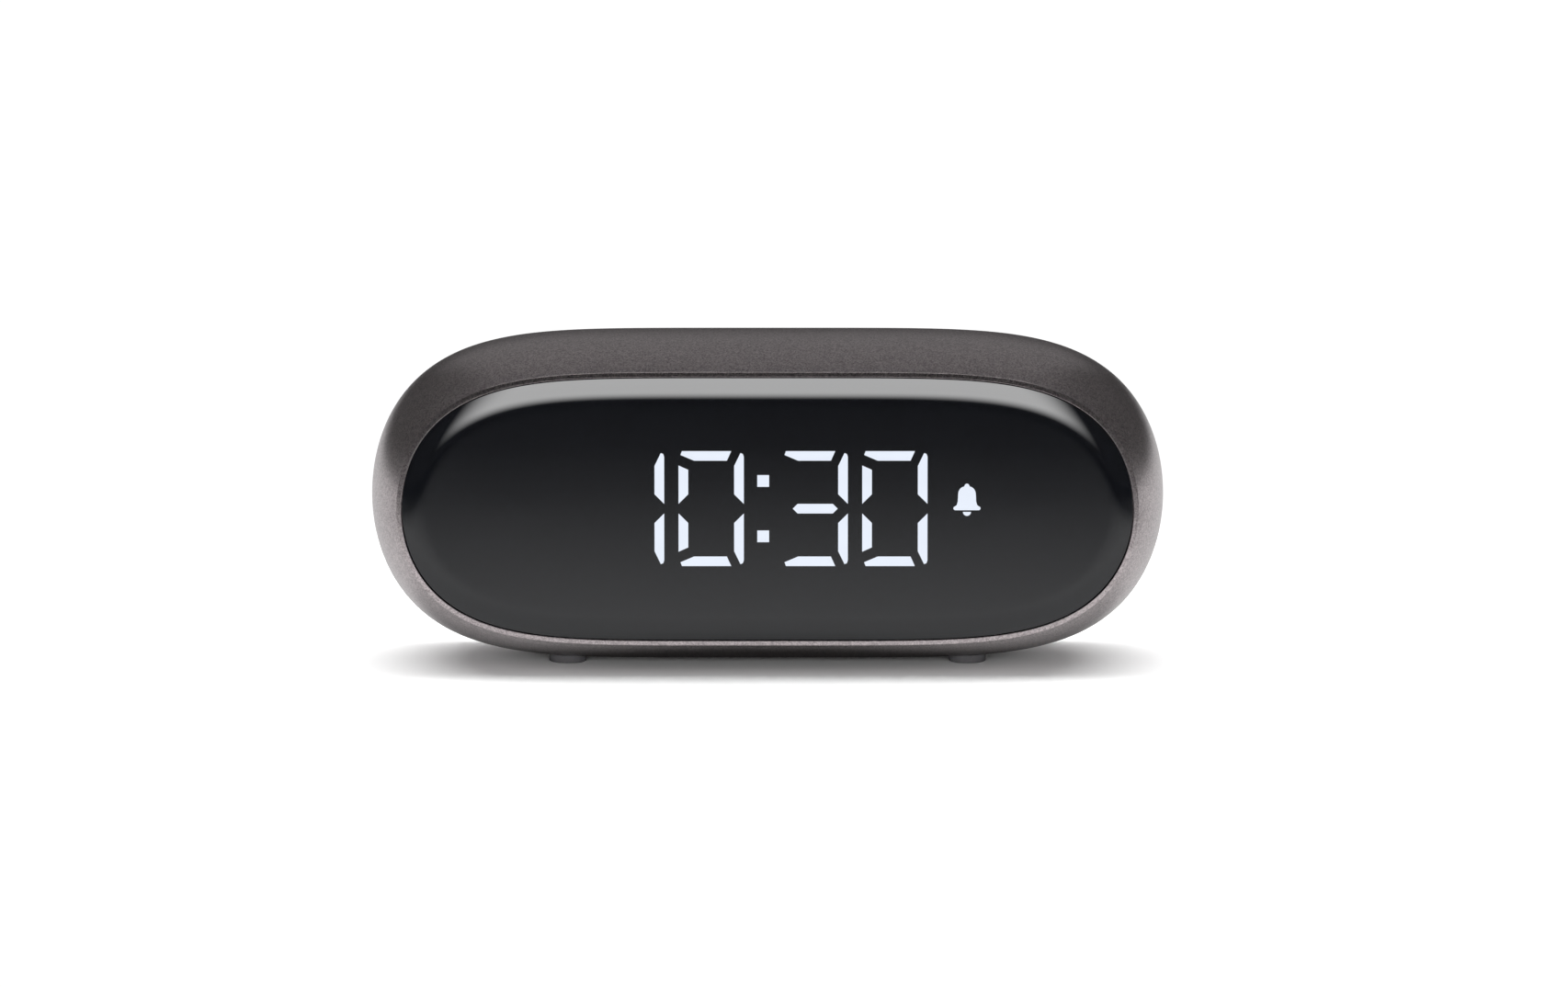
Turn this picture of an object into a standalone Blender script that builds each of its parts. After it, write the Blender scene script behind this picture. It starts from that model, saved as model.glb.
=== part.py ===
"""A bedside LED alarm clock: a pebble-shaped shell with a glossy lens, built as separate parts.

Frame: +Z up, the lens faces -Y, +X is to the right of someone reading the clock.
The origin is under the middle of the clock, on the surface that the feet stand on.
All sizes are in metres, written in millimetres times MM.
"""

import math

import bmesh
import bpy
import numpy as np
from mathutils import Matrix, Vector

MM = 0.001

# ---- Overall sizes
BODY_WIDTH = 111.0 * MM
BODY_HEIGHT = 46.0 * MM
BODY_DEPTH = 33.6 * MM
FOOT_PROUD = 0.3 * MM
SIDE_POWER = 5.4            # |x/a|^SIDE_POWER + |z/b|^2 = 1 is the outline of the clock
OUTLINE_POINTS = 56         # points round each outline, a multiple of four

# ---- Shell
WALL = 2.0 * MM
FRONT_FLARE = 3.7 * MM      # how far the body grows from the front rim to its widest section
REAR_FLARE = 5.5 * MM
FLARE_POWER = 2.2
WIDEST_DEPTH = 16.5 * MM    # from the front rim back to the widest section
RIM_WIDTH = 0.7 * MM
RIM_RISE = 0.15 * MM
LEDGE_WIDTH = 3.2 * MM
LEDGE_THICKNESS = 3.0 * MM
REAR_LIP = 1.2 * MM
REAR_LEDGE_WIDTH = 1.8 * MM
REAR_LEDGE_THICKNESS = 1.4 * MM

# ---- Clearances
GAP = 0.3 * MM              # between pieces that rest on each other
SLIP = 0.25 * MM            # round a piece that slides or drops into a pocket
HOLE_SLACK = 0.3 * MM       # round a screw's shank

# ---- Lens and display stack
LENS_CROWN = 1.2 * MM
LENS_ROLL = 2.0 * MM        # how far in from its edge the lens rolls off
LENS_EDGE = 1.6 * MM        # thickness behind the rim plane
ADHESIVE_THICKNESS = 0.4 * MM
ADHESIVE_WIDTH = 2.2 * MM
DIFFUSER_THICKNESS = 0.3 * MM
REFLECTOR_WIDTH = 68.0 * MM
REFLECTOR_HEIGHT = 22.0 * MM
REFLECTOR_DEPTH = 5.0 * MM
REFLECTOR_CORNER = 1.5 * MM
FRAME_THICKNESS = 1.6 * MM
FRAME_WINDOW_SLACK = 0.6 * MM
FRAME_WALL_SLACK = 0.6 * MM
LED_HEIGHT = 0.5 * MM
LED_BOARD_WIDTH = 84.0 * MM
LED_BOARD_HEIGHT = 24.0 * MM
BOARD_THICKNESS = 1.2 * MM

# ---- Digits: four seven-segment figures, a colon and a bell
DIGIT_WIDTH = 9.1 * MM
DIGIT_HEIGHT = 16.3 * MM
STROKE = 1.35 * MM
DIGIT_PITCH = 11.1 * MM
COLON_SPACE = 5.4 * MM      # between the cells on each side of the colon
COLON_DOT = 1.65 * MM
COLON_RISE = 3.9 * MM
DISPLAY_X = -0.6 * MM        # the middle of the figures, a little left of the clock's middle
BELL_OFFSET = 28.4 * MM
BELL_RISE = 1.3 * MM
BELL_WIDTH = 4.0 * MM
BELL_HEIGHT = 4.6 * MM

# ---- Battery and main board
BATTERY_SIZE = (50.0 * MM, 5.0 * MM, 26.0 * MM)
BATTERY_CORNER = 1.6 * MM
FOAM_THICKNESS = 0.9 * MM
BOARD_WIDTH = 76.0 * MM
BOARD_HEIGHT = 24.0 * MM
CHIP_SIZE = (7.0 * MM, 0.9 * MM, 7.0 * MM)
CRYSTAL_SIZE = (3.2 * MM, 0.9 * MM, 1.6 * MM)
CONNECTOR_SIZE = (4.0 * MM, 1.1 * MM, 9.0 * MM)
FLEX_WIDTH = 7.0 * MM
FLEX_THICKNESS = 0.3 * MM
FLEX_REACH = 5.0 * MM
CHIP_ROOM = 2.3 * MM        # from the battery back to the main board, less the gap

# ---- Screws
SCREW_RADIUS = 0.95 * MM
SCREW_HEAD_RADIUS = 1.8 * MM
SCREW_HEAD_HEIGHT = 1.2 * MM
SCREW_LENGTH = 5.0 * MM
FRAME_SCREW_X = 44.0 * MM
LED_SCREW_X = 39.0 * MM
BOARD_SCREW_PLACE = (34.5 * MM, 9.0 * MM)
COVER_SCREW_PLACE = (40.0 * MM, 7.0 * MM)
POST_RADIUS = 2.3 * MM
BOSS_RADIUS = 2.8 * MM
BOSS_LENGTH = 7.5 * MM

# ---- Rear cover and its controls
COVER_EDGE = 1.6 * MM
COVER_ROUND = 1.0 * MM      # radius of the cover's outer edge
COVER_PAD = 0.9 * MM
BUTTON_PROUD = 0.6 * MM
BUTTON_RADIUS = 3.2 * MM
BUTTON_FLANGE = 1.0 * MM
BUTTON_FLANGE_THICKNESS = 0.8 * MM
BUTTON_STEM_RADIUS = 1.4 * MM
BUTTON_TRAVEL = 0.4 * MM
BUTTON_ROW_Z = 5.0 * MM
BUTTON_PITCH = 12.0 * MM
BUTTON_ROW_X = -9.0 * MM
BUTTON_NAMES = ("time", "alarm", "down", "up")
SWITCH_SIZE = 6.0 * MM
SWITCH_HEIGHT = 3.5 * MM
PLUNGER_RADIUS = 1.7 * MM
PLUNGER_LENGTH = 2.0 * MM
PLUNGER_SINK = 1.0 * MM
SLIDER_X = 26.0 * MM
SLIDER_KNOB = (3.0 * MM, 2.2 * MM)
SLIDER_TRAVEL = 2.0 * MM
SLIDER_PLATE = (8.6 * MM, 4.4 * MM)
SLIDER_PLATE_THICKNESS = 0.8 * MM
SLIDE_SWITCH_SIZE = (8.6 * MM, 3.5 * MM, 3.8 * MM)
LEVER_SIZE = (1.6 * MM, 2.4 * MM, 1.4 * MM)
USB_Z = -6.5 * MM
USB_SIZE = (8.9 * MM, 3.2 * MM)
USB_WALL = 0.35 * MM
USB_MOUTH_DEPTH = 7.0 * MM
USB_TONGUE = (6.6 * MM, 0.7 * MM)
SOUNDER_PLACE = (23.0 * MM, -5.5 * MM)
SOUNDER_RADIUS = 6.0 * MM
SOUNDER_THICKNESS = 3.2 * MM
GASKET_THICKNESS = 0.8 * MM
MESH_THICKNESS = 0.3 * MM
SOUND_HOLE_RADIUS = 0.6 * MM
SOUND_HOLE_PITCH = 2.4 * MM

# ---- Snooze touch plate
ELECTRODE_SIZE = (44.0 * MM, 10.0 * MM, 0.3 * MM)
ELECTRODE_DROP = 0.7 * MM
SPRING_RADIUS = 1.8 * MM
SPRING_WIRE = 0.25 * MM
SPRING_TURNS = 5

# ---- Feet
FOOT_RADIUS = 2.6 * MM
FOOT_X = 28.0 * MM
FOOT_Y = 4.5 * MM
FOOT_POCKET = 0.7 * MM

# ---- Planes, all worked out from the sizes above
AXIS_Z = FOOT_PROUD + BODY_HEIGHT / 2
LENS_FRONT = -BODY_DEPTH / 2
RIM_Y = LENS_FRONT + LENS_CROWN
WIDEST_Y = RIM_Y + WIDEST_DEPTH
LENS_BACK = RIM_Y + LENS_EDGE
LEDGE_FRONT = LENS_BACK + GAP + ADHESIVE_THICKNESS + GAP
LEDGE_BACK = LEDGE_FRONT + LEDGE_THICKNESS
REFLECTOR_FRONT = LENS_BACK + GAP + DIFFUSER_THICKNESS + GAP
REFLECTOR_BACK = REFLECTOR_FRONT + REFLECTOR_DEPTH
FRAME_FRONT = LEDGE_BACK + GAP
FRAME_BACK = FRAME_FRONT + FRAME_THICKNESS
LED_BOARD_FRONT = REFLECTOR_BACK + GAP + LED_HEIGHT
LED_BOARD_BACK = LED_BOARD_FRONT + BOARD_THICKNESS
BATTERY_FRONT = LED_BOARD_BACK + GAP + FOAM_THICKNESS + GAP
BATTERY_BACK = BATTERY_FRONT + BATTERY_SIZE[1]
BOARD_FRONT = BATTERY_BACK + CHIP_ROOM + GAP
BOARD_BACK = BOARD_FRONT + BOARD_THICKNESS
COVER_TOP = BODY_DEPTH / 2 - BUTTON_PROUD
LIP_Y = COVER_TOP - COVER_ROUND
COVER_INNER = LIP_Y - COVER_EDGE
REAR_LEDGE_BACK = COVER_INNER - GAP
REAR_LEDGE_FRONT = REAR_LEDGE_BACK - REAR_LEDGE_THICKNESS

HALF_WIDTH = BODY_WIDTH / 2
HALF_HEIGHT = BODY_HEIGHT / 2


# ---------------------------------------------------------------- helpers

def clear_scene():
    """Remove whatever objects the file opened with."""
    for item in list(bpy.data.objects):
        bpy.data.objects.remove(item, do_unlink=True)


def material(name, colour, roughness, metallic=0.0):
    """A Principled material of one colour (linear RGB)."""
    mat = bpy.data.materials.get(name) or bpy.data.materials.new(name)
    mat.use_nodes = True
    shader = mat.node_tree.nodes["Principled BSDF"]
    shader.inputs["Base Color"].default_value = (*colour, 1.0)
    shader.inputs["Roughness"].default_value = roughness
    shader.inputs["Metallic"].default_value = metallic
    return mat


def add_object(name, bm, mat=None, smooth=False):
    """Turn a bmesh into an object, with its faces pointing out."""
    bmesh.ops.remove_doubles(bm, verts=bm.verts, dist=1e-7)
    bmesh.ops.recalc_face_normals(bm, faces=bm.faces)
    mesh = bpy.data.meshes.new(name)
    bm.to_mesh(mesh)
    bm.free()
    if smooth:
        mesh.shade_smooth()
        mesh.set_sharp_from_angle(angle=math.radians(35))
    if mat:
        mesh.materials.append(mat)
    item = bpy.data.objects.new(name, mesh)
    bpy.context.scene.collection.objects.link(item)
    return item


def as_tool(item):
    """Mark an object as a cutter or a lump that only feeds a Boolean."""
    item.hide_render = True
    item.display_type = "WIRE"
    return item


def combine(item, tool, operation):
    """Cut a tool out of an object, or join it on."""
    as_tool(tool)
    modifier = item.modifiers.new(tool.name, "BOOLEAN")
    modifier.operation = operation
    modifier.solver = "EXACT"
    modifier.object = tool


def cut(item, tool):
    combine(item, tool, "DIFFERENCE")


def join(item, tool):
    combine(item, tool, "UNION")


def pill_outline(half_width, half_height):
    """Points (x, z) round |x/a|^SIDE_POWER + |z/b|^2 = 1, closer together where it turns."""
    steps = np.linspace(0.0, 1.0, 240)
    x_top = 0.8 * half_width * steps
    z_top = half_height * np.sqrt(1 - (x_top / half_width) ** SIDE_POWER)
    z_side = z_top[-1] * (1 - steps[1:])
    x_side = half_width * (1 - (z_side / half_height) ** 2) ** (1 / SIDE_POWER)
    x, z = np.append(x_top, x_side), np.append(z_top, z_side)
    run = np.hypot(np.diff(x), np.diff(z))
    turn = np.abs(np.diff(np.unwrap(np.arctan2(np.diff(z), np.diff(x))), prepend=0.0))
    turn[0] = 0.0
    weight = np.append(0.0, np.cumsum(run / run.sum() + turn / turn.sum()))
    places = np.linspace(0.0, weight[-1], OUTLINE_POINTS // 4 + 1)
    quarter = list(zip(np.interp(places, weight, x), np.interp(places, weight, z)))
    right = quarter + [(px, -pz) for px, pz in reversed(quarter[:-1])]
    return right + [(-px, pz) for px, pz in reversed(right[1:-1])]


def ring(bm, half_width, half_height, y):
    """One outline of vertices at depth y."""
    points = pill_outline(half_width, half_height)
    return [bm.verts.new((px, y, AXIS_Z + pz)) for px, pz in points]


def loft(name, sections, mat=None, tube=False):
    """Skin outlines (half width, half height, y) into a closed solid, or into a tube's wall."""
    bm = bmesh.new()
    rings = [ring(bm, *section) for section in sections]
    followers = rings[1:] + rings[:1] if tube else rings[1:]
    for near, far in zip(rings, followers):
        for order in range(OUTLINE_POINTS):
            after = (order + 1) % OUTLINE_POINTS
            bm.faces.new((near[order], near[after], far[after], far[order]))
    if not tube:
        bm.faces.new(rings[0])
        bm.faces.new(rings[-1])
    return add_object(name, bm, mat, smooth=True)


def block(name, centre, size, mat=None, bevel=0.0, segments=2):
    """A box with its centre at centre, its vertical and other edges rounded by bevel."""
    bm = bmesh.new()
    bmesh.ops.create_cube(bm, size=1.0)
    bmesh.ops.scale(bm, vec=size, verts=bm.verts)
    bmesh.ops.translate(bm, vec=centre, verts=bm.verts)
    if bevel:
        bmesh.ops.bevel(bm, geom=bm.edges[:], offset=bevel, segments=segments, profile=0.5,
                        affect="EDGES")
    return add_object(name, bm, mat)


def prism_mesh(bm, points, y_front, y_back):
    """Add to bm the solid between y_front and y_back over a polygon of (x, z) points."""
    face = bm.faces.new([bm.verts.new((px, y_front, AXIS_Z + pz)) for px, pz in points])
    grown = bmesh.ops.extrude_face_region(bm, geom=[face])
    moved = [part for part in grown["geom"] if isinstance(part, bmesh.types.BMVert)]
    bmesh.ops.translate(bm, vec=(0, y_back - y_front, 0), verts=moved)


def prism(name, outlines, y_front, y_back, mat=None):
    """One or more straight prisms along Y, in one object."""
    bm = bmesh.new()
    for points in outlines:
        prism_mesh(bm, points, y_front, y_back)
    return add_object(name, bm, mat)


def rounded_rectangle(centre_x, centre_z, width, height, radius, steps=4):
    """Points (x, z) of a rectangle with round corners."""
    points = []
    for corner, (sx, sz) in enumerate(((1, 1), (-1, 1), (-1, -1), (1, -1))):
        for step in range(steps + 1):
            angle = math.radians(90 * (corner + step / steps))
            points.append((centre_x + sx * (width / 2 - radius) + radius * math.cos(angle),
                           centre_z + sz * (height / 2 - radius) + radius * math.sin(angle)))
    return points


def circle(centre_x, centre_z, radius, count=20):
    """Points (x, z) of a circle."""
    return [(centre_x + radius * math.cos(2 * math.pi * step / count),
             centre_z + radius * math.sin(2 * math.pi * step / count)) for step in range(count)]


def turned(name, profile, place, mat=None, steps=20):
    """Spin a profile of (radius, y) points about the Y axis; place is the axis's (x, z)."""
    bm = bmesh.new()
    verts = [bm.verts.new((radius, y, 0.0)) for radius, y in profile]
    edges = [bm.edges.new(pair) for pair in zip(verts, verts[1:])]
    bmesh.ops.spin(bm, geom=verts + edges, cent=(0, 0, 0), axis=(0, 1, 0),
                   angle=2 * math.pi, steps=steps, use_merge=True)
    item = add_object(name, bm, mat, smooth=True)
    item.location = (place[0], 0.0, AXIS_Z + place[1])
    return item


def two_sides(x):
    """The two ends (x, 0) of the middle line, each with a word for where it is."""
    return [("right", x, 0.0), ("left", -x, 0.0)]


def four_corners(place):
    """The four mirror images of (x, z), each with a word for where it is."""
    return [("right_top", place[0], place[1]), ("left_top", -place[0], place[1]),
            ("left_bottom", -place[0], -place[1]), ("right_bottom", place[0], -place[1])]


# ---------------------------------------------------------------- shell

def flare_at(y):
    """How far the outer skin has drawn in from its widest section at depth y."""
    if y < WIDEST_Y:
        return FRONT_FLARE * ((WIDEST_Y - y) / WIDEST_DEPTH) ** FLARE_POWER
    return REAR_FLARE * ((y - WIDEST_Y) / (LIP_Y - WIDEST_Y)) ** FLARE_POWER


def skin_section(y, inset=0.0):
    """The outline of the outer skin at depth y, moved in by inset."""
    inset += flare_at(y)
    return (HALF_WIDTH - inset, HALF_HEIGHT - inset, y)


LENS_POCKET = FRONT_FLARE + RIM_WIDTH              # inset of the pocket's wall at the rim
LENS_INSET = LENS_POCKET + SLIP
LEDGE_INSET = LENS_POCKET + LEDGE_WIDTH
COVER_POCKET = REAR_FLARE + REAR_LIP
COVER_INSET = COVER_POCKET + SLIP
REAR_LEDGE_INSET = COVER_POCKET + REAR_LEDGE_WIDTH


def inset_section(inset, y):
    """The clock's widest outline moved in by inset, at depth y."""
    return (HALF_WIDTH - inset, HALF_HEIGHT - inset, y)


def make_housing(mat):
    """The one-piece shell: outer skin, lens pocket and ledge, cavity, and the rear opening."""
    front_places = [RIM_Y + WIDEST_DEPTH * share for share in (0.0, 0.15, 0.35, 0.65, 1.0)]
    rear_places = [WIDEST_Y + (LIP_Y - WIDEST_Y) * share for share in (0.35, 0.65, 0.85, 1.0)]
    outer = [skin_section(y) for y in front_places + rear_places]
    rear_mouth = [inset_section(COVER_POCKET, LIP_Y), inset_section(COVER_POCKET, REAR_LEDGE_BACK),
                  inset_section(REAR_LEDGE_INSET, REAR_LEDGE_BACK),
                  inset_section(REAR_LEDGE_INSET, REAR_LEDGE_FRONT)]
    inner_places = [y for y in reversed(front_places + rear_places)
                    if LEDGE_BACK + GAP < y < REAR_LEDGE_FRONT - GAP]
    inner = [skin_section(REAR_LEDGE_FRONT, WALL)]
    inner += [skin_section(y, WALL) for y in inner_places]
    inner.append(skin_section(LEDGE_BACK, WALL))
    front_mouth = [inset_section(LEDGE_INSET, LEDGE_BACK), inset_section(LEDGE_INSET, LEDGE_FRONT),
                   inset_section(LENS_POCKET, LEDGE_FRONT),
                   inset_section(LENS_POCKET, RIM_Y - RIM_RISE)]
    housing = loft("housing", outer + rear_mouth + inner + front_mouth, mat, tube=True)
    add_cover_bosses(housing)
    cut_frame_screw_holes(housing)
    cut_foot_pockets(housing)
    return housing


def add_cover_bosses(housing):
    """Four screw bosses behind the rear cover, each on a web from the side wall."""
    boss_front = REAR_LEDGE_BACK - COVER_PAD - BOSS_LENGTH
    boss_back = REAR_LEDGE_BACK - COVER_PAD
    web_end = HALF_WIDTH - flare_at(REAR_LEDGE_FRONT) - WALL
    for word, x, z in four_corners(COVER_SCREW_PLACE):
        boss = prism("boss_" + word, [circle(x, z, BOSS_RADIUS)], boss_front, boss_back)
        length = web_end - abs(x)
        web_x = math.copysign(abs(x) + length / 2, x)
        web = block("web_" + word, (web_x, (boss_front + boss_back) / 2, AXIS_Z + z),
                    (length, BOSS_LENGTH - 2 * GAP, 2 * SCREW_RADIUS))
        join(housing, boss)
        join(housing, web)
    holes = [circle(x, z, SCREW_RADIUS + HOLE_SLACK) for _, x, z in four_corners(COVER_SCREW_PLACE)]
    cut(housing, prism("boss_holes", holes, boss_front + WALL / 2, boss_back + GAP))


def frame_screw_places():
    """Screws along the middle of the front ledge, near its four corners."""
    inset = LENS_POCKET + LEDGE_WIDTH * 0.42
    reach = 1 - (FRAME_SCREW_X / (HALF_WIDTH - inset)) ** SIDE_POWER
    return four_corners((FRAME_SCREW_X, (HALF_HEIGHT - inset) * math.sqrt(reach)))


def cut_frame_screw_holes(housing):
    """Blind holes in the back of the ledge, where the display frame is screwed on."""
    holes = [circle(x, z, SCREW_RADIUS + HOLE_SLACK) for _, x, z in frame_screw_places()]
    tool = prism("ledge_holes", holes, LEDGE_FRONT + LEDGE_THICKNESS * 0.2, LEDGE_BACK + GAP)
    cut(housing, tool)


def foot_places():
    """Centres (x, y) of the four feet, with a word for each."""
    return [("front_left", -FOOT_X, WIDEST_Y - FOOT_Y), ("front_right", FOOT_X, WIDEST_Y - FOOT_Y),
            ("rear_left", -FOOT_X, WIDEST_Y + FOOT_Y), ("rear_right", FOOT_X, WIDEST_Y + FOOT_Y)]


def upright_cylinder(name, place, radius, z_low, z_high, mat=None):
    """A cylinder along Z over place (x, y)."""
    bm = bmesh.new()
    bmesh.ops.create_cone(bm, cap_ends=True, segments=24, radius1=radius, radius2=radius,
                          depth=z_high - z_low)
    centre = Matrix.Translation((place[0], place[1], (z_low + z_high) / 2))
    bmesh.ops.transform(bm, matrix=centre, verts=bm.verts)
    return add_object(name, bm, mat, smooth=True)


def foot_top():
    """Height of the pocket's roof: cut into the wall where it is highest over a foot."""
    return FOOT_PROUD + FOOT_POCKET + flare_at(WIDEST_Y + FOOT_Y)


def cut_foot_pockets(housing):
    """Round pockets in the underside for the feet."""
    for word, x, y in foot_places():
        tool = upright_cylinder("pocket_" + word, (x, y), FOOT_RADIUS + SLIP, -WALL, foot_top())
        cut(housing, tool)


def make_feet(mat):
    """Four rubber feet, glued in their pockets and standing proud of the shell."""
    for word, x, y in foot_places():
        foot = upright_cylinder("foot_" + word, (x, y), FOOT_RADIUS, 0.0, foot_top() - GAP, mat)
        foot.modifiers.new("soft_edge", "BEVEL").width = FOOT_PROUD / 2


# ---------------------------------------------------------------- lens and display

def make_lens(mats):
    """The smoked lens and the adhesive ring that holds it on the ledge."""
    sections = [inset_section(LENS_INSET, LENS_BACK), inset_section(LENS_INSET, RIM_Y)]
    for share, inset in ((0.55, LENS_ROLL * 0.3), (0.75, LENS_ROLL), (0.92, LENS_ROLL * 3)):
        sections.append(inset_section(LENS_INSET + inset, RIM_Y - LENS_CROWN * share))
    sections.append(inset_section(HALF_HEIGHT - LENS_ROLL / 4, RIM_Y - LENS_CROWN))
    loft("front_lens", sections, mats["lens"])
    front, back = LENS_BACK + GAP, LEDGE_FRONT - GAP
    outer, inner = LENS_INSET + SLIP, LENS_INSET + SLIP + ADHESIVE_WIDTH
    sections = [inset_section(outer, front), inset_section(outer, back),
                inset_section(inner, back), inset_section(inner, front)]
    loft("lens_adhesive", sections, mats["adhesive"], tube=True)


def digit_centres():
    """Centre x of the four figures, left to right."""
    near = COLON_SPACE / 2 + DIGIT_WIDTH / 2
    offsets = (-near - DIGIT_PITCH, -near, near, near + DIGIT_PITCH)
    return [DISPLAY_X + offset for offset in offsets]


def segment_outlines(centre_x):
    """The seven strokes of one figure, as polygons of (x, z) points."""
    w, h, t = DIGIT_WIDTH / 2, DIGIT_HEIGHT / 2, STROKE
    slit = t / 2
    top = [(-w + 0.3 * t, h), (w - 1.3 * t, h), (w - 1.75 * t, h - t), (-w + 1.6 * t, h - t),
           (-w + 0.2 * t, h - 0.4 * t)]
    right = [(w - 0.3 * t, h - 0.25 * t), (w, h - 0.5 * t), (w, slit), (w - t, slit + t),
             (w - t, h - 1.6 * t)]
    left = [(-w, h - 1.5 * t), (-w, slit), (-w + t, slit + t), (-w + t, h - 1.95 * t)]
    middle = [(-w + 1.05 * t, 0), (-w + 1.55 * t, t / 2), (w - 1.55 * t, t / 2),
              (w - 1.05 * t, 0), (w - 1.55 * t, -t / 2), (-w + 1.55 * t, -t / 2)]
    strokes = [top, right, left]
    strokes += [[(x, -z) for x, z in reversed(stroke)] for stroke in strokes]
    strokes.append(middle)
    return [[(centre_x + x, z) for x, z in stroke] for stroke in strokes]


def colon_outlines():
    """Two square dots between the second and third figures."""
    return [rounded_rectangle(DISPLAY_X, side * COLON_RISE, COLON_DOT, COLON_DOT, COLON_DOT / 8, 1)
            for side in (1, -1)]


def bell_outline():
    """The window behind the bell symbol."""
    return rounded_rectangle(DISPLAY_X + BELL_OFFSET, BELL_RISE, BELL_WIDTH, BELL_HEIGHT,
                             BELL_WIDTH / 4, 3)


def window_outlines():
    """Every lit window of the display."""
    windows = [stroke for x in digit_centres() for stroke in segment_outlines(x)]
    return windows + colon_outlines() + [bell_outline()]


def middle_of(points):
    """The mean of a polygon's corners."""
    return tuple(sum(values) / len(points) for values in zip(*points))


def make_display(mats):
    """Diffuser film, reflector with a well for each window, LED board and its carrier frame."""
    film = rounded_rectangle(0, 0, REFLECTOR_WIDTH, REFLECTOR_HEIGHT, REFLECTOR_CORNER)
    prism("diffuser_film", [film], LENS_BACK + GAP, LENS_BACK + GAP + DIFFUSER_THICKNESS,
          mats["film"])
    reflector = prism("segment_reflector", [film], REFLECTOR_FRONT, REFLECTOR_BACK, mats["white"])
    sensor_well = rounded_rectangle(-BELL_OFFSET, BELL_RISE, BELL_WIDTH, BELL_WIDTH, BELL_WIDTH / 8, 2)
    wells = window_outlines() + [sensor_well]
    cut(reflector, prism("wells", wells, REFLECTOR_FRONT - GAP, REFLECTOR_BACK + GAP))
    make_led_board(mats)
    sensor_front = LED_BOARD_FRONT - GAP - LED_HEIGHT * 2
    prism("light_sensor", [rounded_rectangle(-BELL_OFFSET, BELL_RISE, BELL_WIDTH / 2,
                                             BELL_WIDTH / 2, BELL_WIDTH / 20, 1)],
          sensor_front, LED_BOARD_FRONT - GAP, mats["black"])
    make_display_frame(mats)


def make_led_board(mats):
    """The board behind the reflector, with an LED under each window, and its two screws."""
    plate = rounded_rectangle(0, 0, LED_BOARD_WIDTH, LED_BOARD_HEIGHT, REFLECTOR_CORNER)
    board = prism("led_board", [plate], LED_BOARD_FRONT, LED_BOARD_BACK, mats["board"])
    leds = []
    for points in window_outlines():
        x, z = middle_of(points)
        leds.append(rounded_rectangle(x, z, STROKE, STROKE, STROKE / 5, 1))
    tool = prism("leds", leds, LED_BOARD_FRONT - LED_HEIGHT, LED_BOARD_FRONT + BOARD_THICKNESS / 2)
    join(board, tool)
    holes = [circle(x, z, SCREW_RADIUS + HOLE_SLACK) for _, x, z in two_sides(LED_SCREW_X)]
    cut(board, prism("led_board_holes", holes, LED_BOARD_FRONT - GAP, LED_BOARD_BACK + GAP))
    for word, x, z in two_sides(LED_SCREW_X):
        make_screw("led_screw_" + word, (x, z), LED_BOARD_BACK + GAP, -1,
                   LED_BOARD_BACK - FRAME_FRONT - GAP, mats["steel"])


def make_display_frame(mats):
    """The carrier plate: a window for the reflector, posts for the LED board, and its screws."""
    wall = skin_section(FRAME_FRONT, WALL + FRAME_WALL_SLACK)
    frame = loft("display_frame", [wall, (wall[0], wall[1], FRAME_BACK)], mats["black"])
    window = rounded_rectangle(0, 0, REFLECTOR_WIDTH + 2 * FRAME_WINDOW_SLACK,
                               REFLECTOR_HEIGHT + 2 * FRAME_WINDOW_SLACK, REFLECTOR_CORNER)
    cut(frame, prism("reflector_window", [window], FRAME_FRONT - GAP, FRAME_BACK + GAP))
    posts = [circle(x, z, POST_RADIUS) for _, x, z in two_sides(LED_SCREW_X)]
    join(frame, prism("led_posts", posts, FRAME_FRONT + FRAME_THICKNESS / 2, LED_BOARD_FRONT - GAP))
    holes = [circle(x, z, SCREW_RADIUS + HOLE_SLACK)
             for _, x, z in two_sides(LED_SCREW_X) + frame_screw_places()]
    cut(frame, prism("frame_holes", holes, FRAME_FRONT - GAP, LED_BOARD_FRONT + GAP))
    for word, x, z in frame_screw_places():
        make_screw("frame_screw_" + word, (x, z), FRAME_BACK + GAP, -1,
                   FRAME_THICKNESS + LEDGE_THICKNESS * 0.7, mats["steel"])


def make_screw(name, place, seat_y, direction, length, mat):
    """A pan-head screw: the head's underside is at seat_y and the shank runs along direction."""
    head = seat_y - direction * SCREW_HEAD_HEIGHT
    profile = [(0.0, seat_y + direction * length),
               (SCREW_RADIUS, seat_y + direction * (length - SCREW_RADIUS / 2)),
               (SCREW_RADIUS, seat_y), (SCREW_HEAD_RADIUS, seat_y),
               (SCREW_HEAD_RADIUS, head + direction * SCREW_HEAD_HEIGHT * 0.4),
               (SCREW_HEAD_RADIUS * 0.7, head), (SCREW_HEAD_RADIUS * 0.45, head),
               (SCREW_HEAD_RADIUS * 0.2, head + direction * SCREW_HEAD_HEIGHT * 0.5),
               (0.0, head + direction * SCREW_HEAD_HEIGHT * 0.5)]
    return turned(name, profile, place, mat, steps=10)


# ---------------------------------------------------------------- battery and main board

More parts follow.
